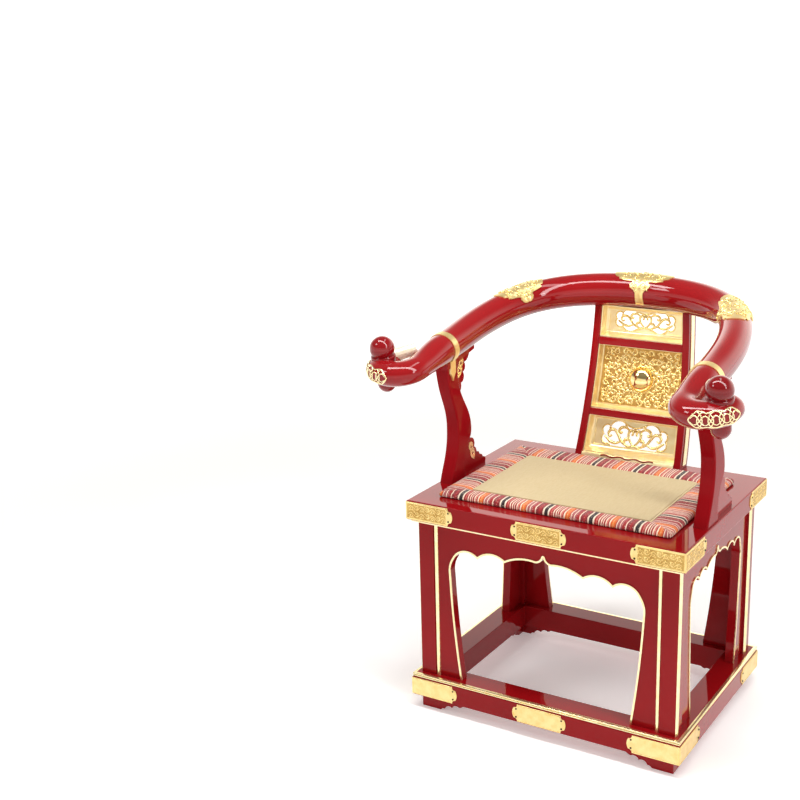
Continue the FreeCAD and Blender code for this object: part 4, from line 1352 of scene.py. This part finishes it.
floorHalf = 60
floorSpots = [(x * floorHalf, y * floorHalf, 0) for x, y in ((-1, -1), (1, -1), (1, 1), (-1, 1))]
floor = makeObject("floor", rawMesh("floor", floorSpots, [(0, 1, 2, 3)]), glowingFloorFinish())


def softBox(name, place, target, wide, tall, power):
    light = bpy.data.lights.new(name, "AREA")
    light.shape = "RECTANGLE"
    light.size = wide
    light.size_y = tall
    light.energy = power
    lamp = linked(name, light)
    lamp.location = place
    lamp.rotation_euler = (Vector(target) - Vector(place)).to_track_quat("-Z", "Y").to_euler()
    lamp.visible_camera = False
    return lamp


def striplight(name, start, end, target, wide, power):
    # a narrow box from start to end, turned about its length to face the target
    run = Vector(end) - Vector(start)
    lamp = softBox(name, (Vector(start) + Vector(end)) / 2, target, run.length, wide, power)
    along = run.normalized()
    facing = lamp.location - Vector(target)
    facing = (facing - along * facing.dot(along)).normalized()
    lamp.rotation_euler = Matrix((along, facing.cross(along), facing)).transposed().to_euler()


softBox("key light", (-1.7, -2.0, 2.5), (0, 0, 0.5), 0.6, 0.6, 12)
softBox("top light", (0.3, 0.1, 2.9), (0, 0, 0.4), 1.7, 0.34, 9)
softBox("side light", (2.6, -1.0, 1.9), (0, 0, 0.5), 0.35, 0.8, 9)
striplight("left strip", (-0.9, -0.55, 1.95), (0.2, -0.5, 2.55), (0, 0.25, 0.85), 0.32, 18)
striplight("right strip", (0.2, -0.5, 2.55), (1.45, -0.5, 1.6), (0, 0.25, 0.85), 0.32, 18)

# sky: white behind the chair, dimmer in front of it so that the lacquer keeps its depth
world = bpy.data.worlds.new("studio")
scene.world = world
world.use_nodes = True
sky = world.node_tree
sky.nodes.clear()
skySplit = addNode(sky, "ShaderNodeSeparateXYZ", {"Vector": addNode(sky, "ShaderNodeTexCoord").outputs["Generated"]})
depthTone = addRange(sky, skySplit.outputs["Y"], 0.22, 1.8, -0.1, 0.75, "SMOOTHSTEP")
heightTone = addRange(sky, skySplit.outputs["Z"], 0.0, 1.0, 0.32, 0.7, "SMOOTHSTEP")
# a pale band all round just above the floor, so that no edge shows from the side
bandTone = addRange(sky, skySplit.outputs["Z"], 1.12, 0.0, 0.14, 0.36, "SMOOTHSTEP")
skyMix = addNode(sky, "ShaderNodeMix", {"Factor": heightTone, "A": depthTone, "B": 0.3})
brightest = addMath(sky, "MAXIMUM", skyMix.outputs["Result"], bandTone)
skyShade = addNode(sky, "ShaderNodeBackground", {"Color": (1, 0.96, 0.9, 1), "Strength": brightest})
addNode(sky, "ShaderNodeOutputWorld", {"Surface": skyShade.outputs["Background"]})

view = {"place": (1071.71, -2345.07, 1375.04), "azimuth": 30.93, "elevation": 15.53, "roll": -1.06, "focal": 1307.21,
        "middle": (450, 400), "frame": 800, "sensor": 36}
a, e, r = (math.radians(view[key]) for key in ("azimuth", "elevation", "roll"))
backward = Vector((math.sin(a) * math.cos(e), -math.cos(a) * math.cos(e), math.sin(e)))
rightward = Vector((math.cos(a), math.sin(a), 0))
upward = backward.cross(rightward)
turnedRight = rightward * math.cos(r) + upward * math.sin(r)
turnedUp = upward * math.cos(r) - rightward * math.sin(r)
cameraData = bpy.data.cameras.new("camera")
cameraData.sensor_width = view["sensor"]
cameraData.lens = view["focal"] / view["frame"] * view["sensor"]
cameraData.shift_x = (view["frame"] / 2 - view["middle"][0]) / view["frame"]
cameraData.shift_y = (view["middle"][1] - view["frame"] / 2) / view["frame"]
camera = linked("camera", cameraData)
turn = Matrix((turnedRight, turnedUp, backward)).transposed().to_4x4()
camera.matrix_world = Matrix.Translation(seatPoint(*view["place"])) @ turn
scene.camera = camera
scene.view_settings.view_transform = "Standard"
scene.view_settings.look = "None"

print("scene ready")
